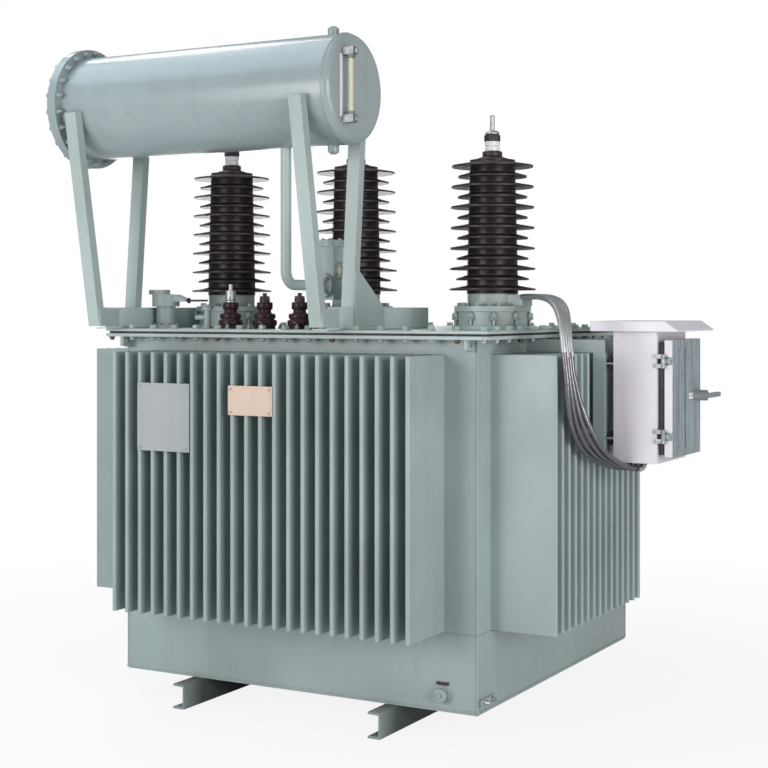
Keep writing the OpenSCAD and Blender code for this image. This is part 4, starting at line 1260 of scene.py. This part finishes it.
@dataclass
class FrontPlates:
    """The two bare plates on the front fins, with a screw in each corner."""

    thickness: float = 0.003
    fin_face: float = -0.968
    gap: float = 0.0005
    border: float = 0.006
    step: float = 0.0008
    screw_inset: float = 0.012
    screw_spin: float = 20.0

    def plate(self, name: str, x: tuple[float, float], z: tuple[float, float], look: Finish) -> None:
        """Makes one plate with a raised border and four screws.

        Args:
            name: Name of the plate.
            x: Its left and right edge, in metres.
            z: Its lower and upper edge.
            look: Its finish.
        """
        back = self.fin_face - self.gap
        front = back - self.thickness
        sheet = slab(name, (x[0], front, z[0]), (x[1], back, z[1]), self.step, 1)
        edit_faces(sheet, lambda face: face.normal.y < -0.9)
        bpy.ops.mesh.inset(thickness=self.border)
        bpy.ops.mesh.inset(thickness=self.step)
        bpy.ops.transform.translate(value=(0, self.step, 0))
        finish_piece(smooth(named(name)), look)
        spots = [place((px, front, pz), Axis.FRONT, px * self.screw_spin)
                 for px in (x[0] + self.screw_inset, x[1] - self.screw_inset)
                 for pz in (z[0] + self.screw_inset, z[1] - self.screw_inset)]
        head = screw(0.0042, (0.0046, 0.0006), (0.0036, 0.0022), 0.0027, 16)
        finish_piece(scatter(f"{name}_screws", head, spots), Finish.STEEL)

    def build(self) -> None:
        """Makes both plates."""
        self.plate("grey_plate", (-0.495, -0.266), (0.955, 1.199), Finish.PLATE)
        self.plate("rating_plate", (-0.099, 0.084), (1.094, 1.197), Finish.PEACH)


def spline(points: Sequence[Vector], per_span: int) -> list[Vector]:
    """Samples a smooth line that follows given points and starts and ends on the outer ones.

    Args:
        points: The chosen points.
        per_span: Samples for each span between two of them.

    Returns:
        The samples of a cubic B-spline.
    """
    first = points[0] * 2 - points[1]
    last = points[-1] * 2 - points[-2]
    control = [first, *points, last]
    line = []
    for a, b, c, d in zip(control, control[1:], control[2:], control[3:]):
        for k in range(per_span):
            t = k / per_span
            line.append(((1 - t) ** 3 * a + (3 * t ** 3 - 6 * t ** 2 + 4) * b
                         + (-3 * t ** 3 + 3 * t ** 2 + 3 * t + 1) * c + t ** 3 * d) / 6)
    return [*line, points[-1].copy()]


def run_length(line: Sequence[Vector]) -> float:
    """Gives the length of a line through points."""
    return sum((b - a).length for a, b in zip(line, line[1:]))


def resampled(line: Sequence[Vector], count: int) -> list[Vector]:
    """Gives count points at even distances along a line."""
    at = [0.0]
    for a, b in zip(line, line[1:]):
        at.append(at[-1] + (b - a).length)
    out, k = [], 0
    for n in range(count):
        want = at[-1] * n / (count - 1)
        while k < len(line) - 2 and at[k + 1] < want:
            k += 1
        out.append(line[k].lerp(line[k + 1], (want - at[k]) / (at[k + 1] - at[k])))
    return out


def tube(name: str, line: Sequence[Vector], radius: float) -> Piece:
    """Makes a round tube along a line by filling out a curve and turning it into a mesh.

    Args:
        name: Name of the piece.
        line: Its centreline, in metres.
        radius: Its radius.

    Returns:
        The tube, with one ring of corners at each point of the line.
    """
    deselect()
    curve = bpy.data.curves.new(name, "CURVE")
    curve.dimensions = "3D"
    curve.bevel_depth = radius
    curve.bevel_resolution = 4
    curve.use_fill_caps = True
    run = curve.splines.new("POLY")
    run.points.add(len(line) - 1)
    for point, at in zip(run.points, line):
        point.co = (*at, 1.0)
    obj = bpy.data.objects.new(name, curve)
    bpy.context.scene.collection.objects.link(obj)
    activate(obj)
    bpy.ops.object.convert(target="MESH")
    return named(name)


@dataclass
class Conduits:
    """The four ribbed conduits from the third turret to the terminal box, with pipes, elbows and glands."""

    diameter: float = 0.020
    pitch: float = 0.0203
    count: int = 4
    rib_step: float = 0.0045
    rib_depth: float = 0.0007
    elbow_share: float = 0.925
    elbow_lap: int = 2
    gland_lap: tuple[int, int] = (6, 4)
    pipe_end: float = 1.300
    pipe_stagger: float = 0.016
    socket_points: int = 10
    path_points: int = 40
    per_span: int = 24
    plate_half: tuple[float, float] = (0.048, 0.024)
    plate_t: float = 0.005
    plate_gap: float = 0.0005
    bolt_at: tuple[float, float] = (0.042, 0.018)
    origin: Point = (0.740, 0.0, 1.390)
    twist_first: float = 8.0
    twist_span: float = 7.0
    route: tuple[Point, ...] = (
        (-50, -222, 118), (50, -322, 119), (122, -398, 115), (185, -468, 100), (226, -520, 70),
        (250, -552, 28), (263, -570, -25), (270, -572, -82), (277, -573, -140), (282, -564, -200),
        (286, -550, -260), (292, -524, -320), (302, -484, -378), (316, -430, -424), (334, -368, -456),
        (356, -306, -478), (378, -254, -486), (390, -230, -478), (392, -224, -430))

    def lane(self, number: int) -> list[Vector]:
        """Gives the centreline of one conduit, from the turret's box to the underside of the case.

        Args:
            number: Its number in the bundle, from 0.

        Returns:
            Closely spaced points in metres.
        """
        start = corners("ct_box")[1].x + 2 * HAIR
        end = corners("box_case")[0].z - 2 * HAIR
        middle = spline([Vector(self.origin) + Vector(p) * MM for p in self.route], self.per_span)
        off = (number - (self.count - 1) / 2) * self.pitch
        line = []
        for k, point in enumerate(middle):
            along = (middle[min(k + 1, len(middle) - 1)] - middle[max(k - 1, 0)]).normalized()
            twist = min(1.0, max(0.0, (k / self.per_span - self.twist_first) / self.twist_span))
            outward = along.cross(Vector((twist, 1 - twist, 0))).normalized()
            line.append(point + off * along.cross(outward))
        line = [p for p in line if p.x > start]
        lowest = min(range(len(line)), key=lambda k: line[k].z)
        return [p for k, p in enumerate(line) if k <= lowest or p.z < end]

    def ribbed(self, name: str, line: Sequence[Vector]) -> Piece:
        """Makes one conduit whose rings are drawn in by turns.

        Args:
            name: Name of the conduit.
            line: Its centreline.

        Returns:
            The conduit.
        """
        fine = resampled(line, 2 * int(run_length(line) / self.rib_step / 2) + 1)
        obj = tube(name, fine, self.diameter / 2)
        mesh = obj.data
        around = len(mesh.vertices) // len(fine)
        drawn_in = [(k // around) % 2 == 1 for k in range(len(mesh.vertices))]
        activate(obj)
        for part in (mesh.polygons, mesh.edges):
            part.foreach_set("select", [False] * len(part))
        mesh.vertices.foreach_set("select", drawn_in)
        bpy.context.tool_settings.mesh_select_mode = (True, False, False)
        bpy.ops.object.mode_set(mode="EDIT")
        bpy.ops.transform.shrink_fatten(value=-self.rib_depth)
        return smooth(named(name), 70)

    def sleeve(self, name: str, line: Sequence[Vector], over: float) -> Piece:
        """Makes a smooth tube round part of a conduit, thicker than it by over on each side."""
        return smooth(tube(name, line, self.diameter / 2 + over), 50)

    def runs(self) -> None:
        """Makes the conduits, the bent pipes with sockets at their top, and the glands and elbows below."""
        elbows, glands, pipes, sockets = [], [], [], []
        for number in range(self.count):
            line = self.lane(number)
            cut = int(len(line) * self.elbow_share)
            path = resampled(line[:cut], self.path_points)
            piece = self.ribbed(f"conduit_{number + 1}", line[:cut])
            finish_piece(piece, Finish.CONDUIT, replaced=["conduits"])
            before, after = self.gland_lap
            lowest = self.pipe_end + self.pipe_stagger * (number % 2)
            bent = [p for p in line[:cut] if p.z > lowest]
            elbows.append(self.sleeve(f"elbow_{number}", line[cut - self.elbow_lap:], 0.00005))
            glands.append(self.sleeve(f"gland_{number}", line[cut - before:cut + after], 0.0001))
            pipes.append(self.sleeve(f"pipe_{number}", bent, 0.00012))
            sockets.append(self.sleeve(f"socket_{number}", bent[-self.socket_points:], 0.0011))
        finish_piece(join("conduit_pipes", pipes), Finish.ZINC)
        finish_piece(join("pipe_sockets", sockets), Finish.ZINC)
        finish_piece(join("conduit_elbows", elbows), Finish.ZINC)
        finish_piece(join("conduit_glands", glands), Finish.DARK)

    def gland_plate(self) -> None:
        """Bolts a plate under the case where the elbows go in."""
        low = corners("box_case")[0]
        end = self.lane(0)[-1].lerp(self.lane(self.count - 1)[-1], 0.5)
        half_x, half_y = self.plate_half
        under = low.z - self.plate_t
        plate = slab("gland_plate", (end.x - half_x, end.y - half_y, under),
                     (end.x + half_x, end.y + half_y, low.z - self.plate_gap), 0.0012, 1)
        finish_piece(plate, Finish.ZINC)
        bolt_x, bolt_y = self.bolt_at
        spots = [place((end.x + x, end.y + y, under), Axis.DOWN)
                 for x in (-bolt_x, bolt_x) for y in (-bolt_y, bolt_y)]
        finish_piece(scatter("gland_plate_bolts", hex_bolt(across=0.009, height=0.004), spots), Finish.STEEL)

    def build(self) -> None:
        """Makes the conduits and the gland plate."""
        self.runs()
        self.gland_plate()


@dataclass
class TerminalBox:
    """Details of the terminal box: bolts, hinge screws, the door seal, a dark strip painting the groove's
    shade, trim, lever stop and the terminals inside.
    """

    door_x: float = 1.254
    door_face: float = 1.284
    case_edge: float = 1.229
    posts_y: tuple[float, float] = (-0.278, -0.010)
    straps_z: tuple[float, float] = (1.008, 1.270)
    strap_x: float = 0.017
    strap_t: float = 0.006
    strap_spin: float = 0.2
    collar: tuple[float, float, float, float] = (-0.283, 0.0, 0.962, 1.346)
    collar_shade_strip_x: tuple[float, float] = (0.0005, 0.0065)
    collar_shade_strip_t: float = 0.0016
    leaf_half: float = 0.024
    leaf_screw: Point = (0.007, 0.003, 0.0163)
    door_screw: tuple[float, float] = (0.016, 0.005)
    trim_y: float = -0.295
    trim_t: float = 0.0016
    trim_inset: float = 0.001
    trim_end: float = 0.003
    trim_gap: tuple[float, float] = (0.010, 0.038)
    seal_y: float = -0.290
    seal_inset: float = 0.005
    seal_x: tuple[float, float] = (0.012, 0.024)
    seal_width: float = 0.014
    stop_y: tuple[float, float] = (0.056, 0.007)
    stop_half: float = 0.011
    stop_t: float = 0.004
    stop_screws_y: tuple[float, float] = (0.017, 0.046)
    swages_y: tuple[float, float] = (-0.225, -0.155)
    swage_half: float = 0.006
    swage_end: float = 0.03
    swage_t: float = 0.003
    block_count: int = 14
    block_depth: float = 0.032
    block_half: float = 0.022
    block_share: float = 0.9
    block_margin: float = 0.01
    block_screw_z: float = 0.013
    wall_t: float = 0.003
    rail_inset: float = 0.030
    rail_z: float = 0.16
    rail_half: float = 0.0175
    rail_t: float = 0.007

    def bracket_bolts(self) -> None:
        """Bolts the straps between the posts and the case."""
        x = corners("box_case")[0].x - self.strap_x
        spots = []
        for y in self.posts_y:
            for z in self.straps_z:
                spots.append(place((x, y, z + self.strap_t), Axis.UP, self.strap_spin))
                spots.append(place((x, y, z), Axis.DOWN, self.strap_spin))
        bolt = hex_bolt(across=0.022, height=0.012, washer=0.027, stud=0.006)
        finish_piece(scatter("bracket_bolts", bolt, spots), Finish.DARK)

    def collar_shade_strip(self) -> None:
        """Wraps the case's collar in a dark rubber strip, which paints the shade of the groove behind the
        door.
        """
        x0, x1 = self.case_edge + self.collar_shade_strip_x[0], self.door_x - self.collar_shade_strip_x[1]
        y0, y1, z0, z1 = self.collar
        t = self.collar_shade_strip_t
        strips = (((x0, y0 - t, z0 - t), (x1, y0 - TOUCH, z1 + t)),
                  ((x0, y1 + TOUCH, z0 - t), (x1, y1 + t, z1 + t)),
                  ((x0, y0, z0 - t), (x1, y1, z0 - TOUCH)),
                  ((x0, y0, z1 + TOUCH), (x1, y1, z1 + t)))
        bars = [slab(f"collar_shade_strip_{k}", low, high, 0.0004, 1) for k, (low, high) in enumerate(strips)]
        # Painted shade: a dark strip stands in the groove between case and door
        finish_piece(join("collar_shade_strip", bars), Finish.GASKET)

    def hinges(self) -> None:
        """Screws the hinge leaves to the case and to the door."""
        low, high = corners("box_hinges")
        case_y = corners("box_case")[0].y
        leaf_x, leaf_y, leaf_z = self.leaf_screw
        door_x, door_y = self.door_screw
        fixed, moving = [], []
        for middle in (low.z + self.leaf_half, high.z - self.leaf_half):
            fixed += [place((self.case_edge - leaf_x, case_y - leaf_y, middle + dz), Axis.FRONT)
                      for dz in (-leaf_z, leaf_z)]
            moving.append(place((self.door_x + door_x, case_y - door_y, middle), Axis.FRONT))
        for name, spots, body in (("hinge_screws", fixed, Body.TRANSFORMER),
                                  ("door_screws", moving, Body.DOOR)):
            head = screw(0.0036, (0.0038, 0.0006), (0.003, 0.0018), 0.0022)
            finish_piece(scatter(name, head, spots), Finish.STEEL, body)

    def edge_trim(self) -> None:
        """Lines the door's hinge edge with a pale strip, cut out at the hinges."""
        low, high = corners("box_hinges")
        door_low, door_high = corners("box_door")
        first, last = self.trim_gap
        ends = [door_low.z + self.trim_end, low.z + first, low.z + last,
                high.z - last, high.z - first, door_high.z - self.trim_end]
        x0, x1 = self.door_x + self.trim_inset, self.door_face - self.trim_inset
        y0, y1 = self.trim_y - self.trim_t, self.trim_y - TOUCH
        strips = [slab(f"trim_{k}", (x0, y0, z0), (x1, y1, z1), 0.0005, 1)
                  for k, (z0, z1) in enumerate(zip(ends[::2], ends[1::2]))]
        finish_piece(join("door_edge_trim", strips), Finish.CASE, Body.DOOR)

    def seal(self) -> None:
        """Lays a rubber seal round the inside of the door's pan."""
        low, high = corners("box_door")
        y0, y1 = self.seal_y, high.y - self.seal_inset
        z0, z1 = low.z + self.seal_inset, high.z - self.seal_inset
        x0, x1 = (self.door_x + x for x in self.seal_x)
        width = self.seal_width
        strips = (((x0, y0, z0), (x1, y1, z0 + width)),
                  ((x0, y0, z1 - width), (x1, y1, z1)),
                  ((x0, y0, z0 + width), (x1, y0 + width, z1 - width)),
                  ((x0, y1 - width, z0 + width), (x1, y1, z1 - width)))
        bars = [slab(f"seal_{k}", a, b, 0.003) for k, (a, b) in enumerate(strips)]
        finish_piece(join("door_seal", bars), Finish.GASKET, Body.DOOR)

    def lever(self) -> None:
        """Plates the lever and screws its stop to the door beside the boss."""
        Finish.ZINC.dress(frame["nodes"]["box_handle"])
        low, high = corners("box_handle")
        boss_z = (low.z + high.z) / 2
        far, near = self.stop_y
        face = self.door_face + self.stop_t
        stop = slab("lever_stop", (self.door_face + HAIR, low.y - far, boss_z - self.stop_half),
                    (face, low.y - near, boss_z + self.stop_half), 0.0015, 2)
        finish_piece(stop, Finish.CASE, Body.DOOR)
        head = screw(0.0040, (0.0042, 0.0006), (0.003, 0.0020), 0.0024)
        spots = [place((face, low.y - dy, boss_z), Axis.RIGHT) for dy in self.stop_screws_y]
        finish_piece(scatter("stop_screws", head, spots), Finish.STEEL, Body.DOOR)

    def swages(self) -> None:
        """Presses shallow upright ribs into the door's sheet."""
        low, high = corners("box_door")
        x0, x1 = self.door_face + HAIR, self.door_face + self.swage_t
        z0, z1 = low.z + self.swage_end, high.z - self.swage_end
        half = self.swage_half
        ribs = [slab(f"swage_{k}", (x0, y - half, z0), (x1, y + half, z1), 0.0024, 3)
                for k, y in enumerate(self.swages_y)]
        finish_piece(join("door_swages", ribs), Finish.DOOR, Body.DOOR)

    def terminals(self) -> None:
        """Fits a rail with terminal blocks on the back wall inside."""
        low, high = corners("box_case")
        wall = low.x + self.wall_t
        y0, y1 = low.y + self.rail_inset, high.y - self.rail_inset
        z = low.z + self.rail_z
        rail = slab("terminal_rail", (wall + HAIR, y0, z - self.rail_half),
                    (wall + self.rail_t, y1, z + self.rail_half), 0.001, 1)
        finish_piece(rail, Finish.ZINC)
        pitch = (y1 - y0 - 2 * self.block_margin) / self.block_count
        first = y0 + self.block_margin
        back = wall + self.rail_t + HAIR
        block = slab("block_pattern", (0, 0, -self.block_half),
                     (self.block_depth, pitch * self.block_share, self.block_half), 0.0015, 1)
        spots = [Matrix.Translation((back, first + k * pitch, z)) for k in range(self.block_count)]
        finish_piece(scatter("terminal_blocks", block, spots), Finish.CASE)
        front = back + self.block_depth
        heads = [place((front, first + (k + self.block_share / 2) * pitch, z + dz), Axis.RIGHT)
                 for k in range(self.block_count) for dz in (-self.block_screw_z, self.block_screw_z)]
        head = screw(0.0036, (0.0036, 0.001), (0.0028, 0.0018), 0.002, 10)
        finish_piece(scatter("terminal_screws", head, heads), Finish.STEEL)

    def build(self) -> None:
        """Builds the box's details."""
        self.bracket_bolts()
        self.collar_shade_strip()
        self.hinges()
        self.edge_trim()
        self.seal()
        self.lever()
        self.swages()
        self.terminals()


@dataclass
class SolidFinishes:
    """Puts the finishes on the solids that stay as they are."""

    # Channels, legs, turrets and the cover's fittings take lighter copies of the paint: painted light for
    # parts that stand in shade
    special: tuple[tuple[str, Finish], ...] = (
        ("trestle_base_", Finish.CHANNEL), ("trestle_legs_", Finish.UPPER), ("base_rail_", Finish.RAIL),
        ("box_hinges", Finish.STEEL), ("hv_turret_", Finish.UPPER), ("ct_box", Finish.UPPER),
        ("tank_cover", Finish.UPPER), ("rim_flange", Finish.UPPER), ("oil_", Finish.UPPER),
        ("gas_relay", Finish.UPPER), ("relief_device", Finish.UPPER), ("cover_valve", Finish.UPPER))

    def dress(self) -> None:
        """Gives every solid its own finish, or else the first one of its slot in the record."""
        by_slot = {look.slot: look for look in reversed(Finish)}
        for part in frame["record"]["subparts"]:
            own = (look for start, look in self.special if part["node"].startswith(start))
            look = next(own, by_slot[part["material_slot"]])
            look.dress(frame["nodes"][part["node"]])
            LOG.info("%s: %s", part["node"], part["material_slot"])


@dataclass(frozen=True)
class Lamp:
    """One soft square lamp: its place, the point it faces, its side in metres, its watts and its colour."""

    name: str
    at: Point
    aim: Point
    size: float
    power: float
    colour: Point = (1.0, 1.0, 1.0)

    def hang(self) -> None:
        """Adds the lamp to the scene."""
        data = bpy.data.lights.new(self.name, "AREA")
        data.color = self.colour
        data.shape = "SQUARE"
        data.size = self.size
        data.energy = self.power
        obj = bpy.data.objects.new(self.name, data)
        obj.location = self.at
        obj.rotation_euler = (Vector(self.aim) - Vector(self.at)).to_track_quat("-Z", "Y").to_euler()
        bpy.context.scene.collection.objects.link(obj)


@dataclass
class Studio:
    """Pale floor, white surroundings, soft lamps and the camera at the photograph's place."""

    eye: Point = (3.001, -5.432, 1.462)
    azimuth: float = 29.04
    lens: float = 72.63
    sensor: float = 36.0
    shift_y: float = -0.0969
    clip_end: float = 200.0
    floor_half: float = 40.0
    floor_tone: float = 0.66
    fade_near: float = 1.3
    fade_far: float = 3.6
    fade_least: float = 0.88
    world_level: float = 0.36
    lamps: tuple[Lamp, ...] = (
        Lamp("top_lamp", (-2.8, -1.6, 7.0), (0.0, -0.5, 1.4), 5.0, 220.0, (0.72, 0.90, 1.0)),
        Lamp("front_lamp", (-2.0, -6.7, 1.95), (-0.1, -0.6, 1.2), 2.8, 218.0),
        Lamp("right_lamp", (6.5, -3.9, 2.2), (0.5, 0.0, 1.3), 3.0, 225.0),
        Lamp("low_lamp", (5.5, -1.6, 0.4), (0.8, 0.0, 0.3), 1.0, 56.0),
        Lamp("back_lamp", (-5.5, 3.2, 8.3), (-0.3, -0.8, 2.2), 2.2, 95.0),
        Lamp("rear_lamp", (-4.5, 6.0, 2.2), (0.0, 0.3, 1.0), 3.0, 150.0))

    def camera(self) -> None:
        """Sets up the camera, level and shifted."""
        data = bpy.data.cameras.new("camera")
        data.lens = self.lens
        data.sensor_width = self.sensor
        data.shift_y = self.shift_y
        data.clip_end = self.clip_end
        obj = bpy.data.objects.new("camera", data)
        obj.location = self.eye
        obj.rotation_euler = (math.pi / 2, 0.0, math.radians(self.azimuth))
        bpy.context.scene.collection.objects.link(obj)
        bpy.context.scene.camera = obj

    def floor(self) -> None:
        """Makes the floor, which stays white to the camera apart from the shadow."""
        deselect()
        bpy.ops.mesh.primitive_grid_add(x_subdivisions=4, y_subdivisions=4, size=2 * self.floor_half)
        floor = named("floor")
        material = bpy.data.materials.new("floor_white")
        material.use_nodes = True
        tree = material.node_tree
        tree.nodes.remove(tree.nodes["Principled BSDF"])
        matt = tree.nodes.new("ShaderNodeBsdfDiffuse")
        matt.inputs["Color"].default_value = (self.floor_tone, self.floor_tone, self.floor_tone, 1.0)
        glow = tree.nodes.new("ShaderNodeEmission")
        glow.inputs["Color"].default_value = (1.0, 1.0, 1.0, 1.0)
        mix = tree.nodes.new("ShaderNodeMixShader")
        seen = tree.nodes.new("ShaderNodeMath")
        seen.operation = "MULTIPLY"
        away = tree.nodes.new("ShaderNodeVectorMath")
        away.operation = "LENGTH"
        tree.links.new(tree.nodes.new("ShaderNodeTexCoord").outputs["Object"], away.inputs[0])
        fade = tree.nodes.new("ShaderNodeMapRange")
        for name, number in (("From Min", self.fade_near), ("From Max", self.fade_far),
                             ("To Min", self.fade_least), ("To Max", 1.0)):
            fade.inputs[name].default_value = number
        tree.links.new(away.outputs["Value"], fade.inputs["Value"])
        tree.links.new(tree.nodes.new("ShaderNodeLightPath").outputs["Is Camera Ray"], seen.inputs[0])
        tree.links.new(fade.outputs["Result"], seen.inputs[1])
        tree.links.new(seen.outputs["Value"], mix.inputs[0])
        tree.links.new(matt.outputs["BSDF"], mix.inputs[1])
        tree.links.new(glow.outputs["Emission"], mix.inputs[2])
        tree.links.new(mix.outputs["Shader"], tree.nodes["Material Output"].inputs["Surface"])
        floor.data.materials.append(material)

    def world(self) -> None:
        """Lights the surroundings softly and shows them white."""
        world = bpy.data.worlds.new("studio")
        bpy.context.scene.world = world
        world.use_nodes = True
        tree = world.node_tree
        background = tree.nodes["Background"]
        background.inputs["Color"].default_value = (1.0, 1.0, 1.0, 1.0)
        path = tree.nodes.new("ShaderNodeLightPath")
        seen = tree.nodes.new("ShaderNodeMath")
        seen.operation = "MAXIMUM"
        tree.links.new(path.outputs["Is Camera Ray"], seen.inputs[0])
        tree.links.new(path.outputs["Is Transmission Ray"], seen.inputs[1])
        level = tree.nodes.new("ShaderNodeMapRange")
        level.inputs["To Min"].default_value = self.world_level
        tree.links.new(seen.outputs["Value"], level.inputs["Value"])
        tree.links.new(level.outputs["Result"], background.inputs["Strength"])

    def build(self) -> None:
        """Builds the studio."""
        bpy.context.scene.view_settings.view_transform = "Standard"
        self.camera()
        self.floor()
        self.world()
        for lamp in self.lamps:
            lamp.hang()


def main() -> None:
    """Builds the studio and dresses the transformer."""
    logging.basicConfig(level=logging.INFO, format="%(name)s %(message)s")
    Studio().build()
    Conduits().build()
    SolidFinishes().dress()
    for assembly in (TankSeams(), CoverJoint(), LugWelds(), HighVoltageSet(), LowVoltageSet(), Conservator(),
                     Trestles(), OilLine(), CoverFittings(), FrontPlates(), TerminalBox()):
        LOG.info("building %s", type(assembly).__name__)
        assembly.build()
    TankSeams().dress_earth()


if __name__ == "__main__":
    main()
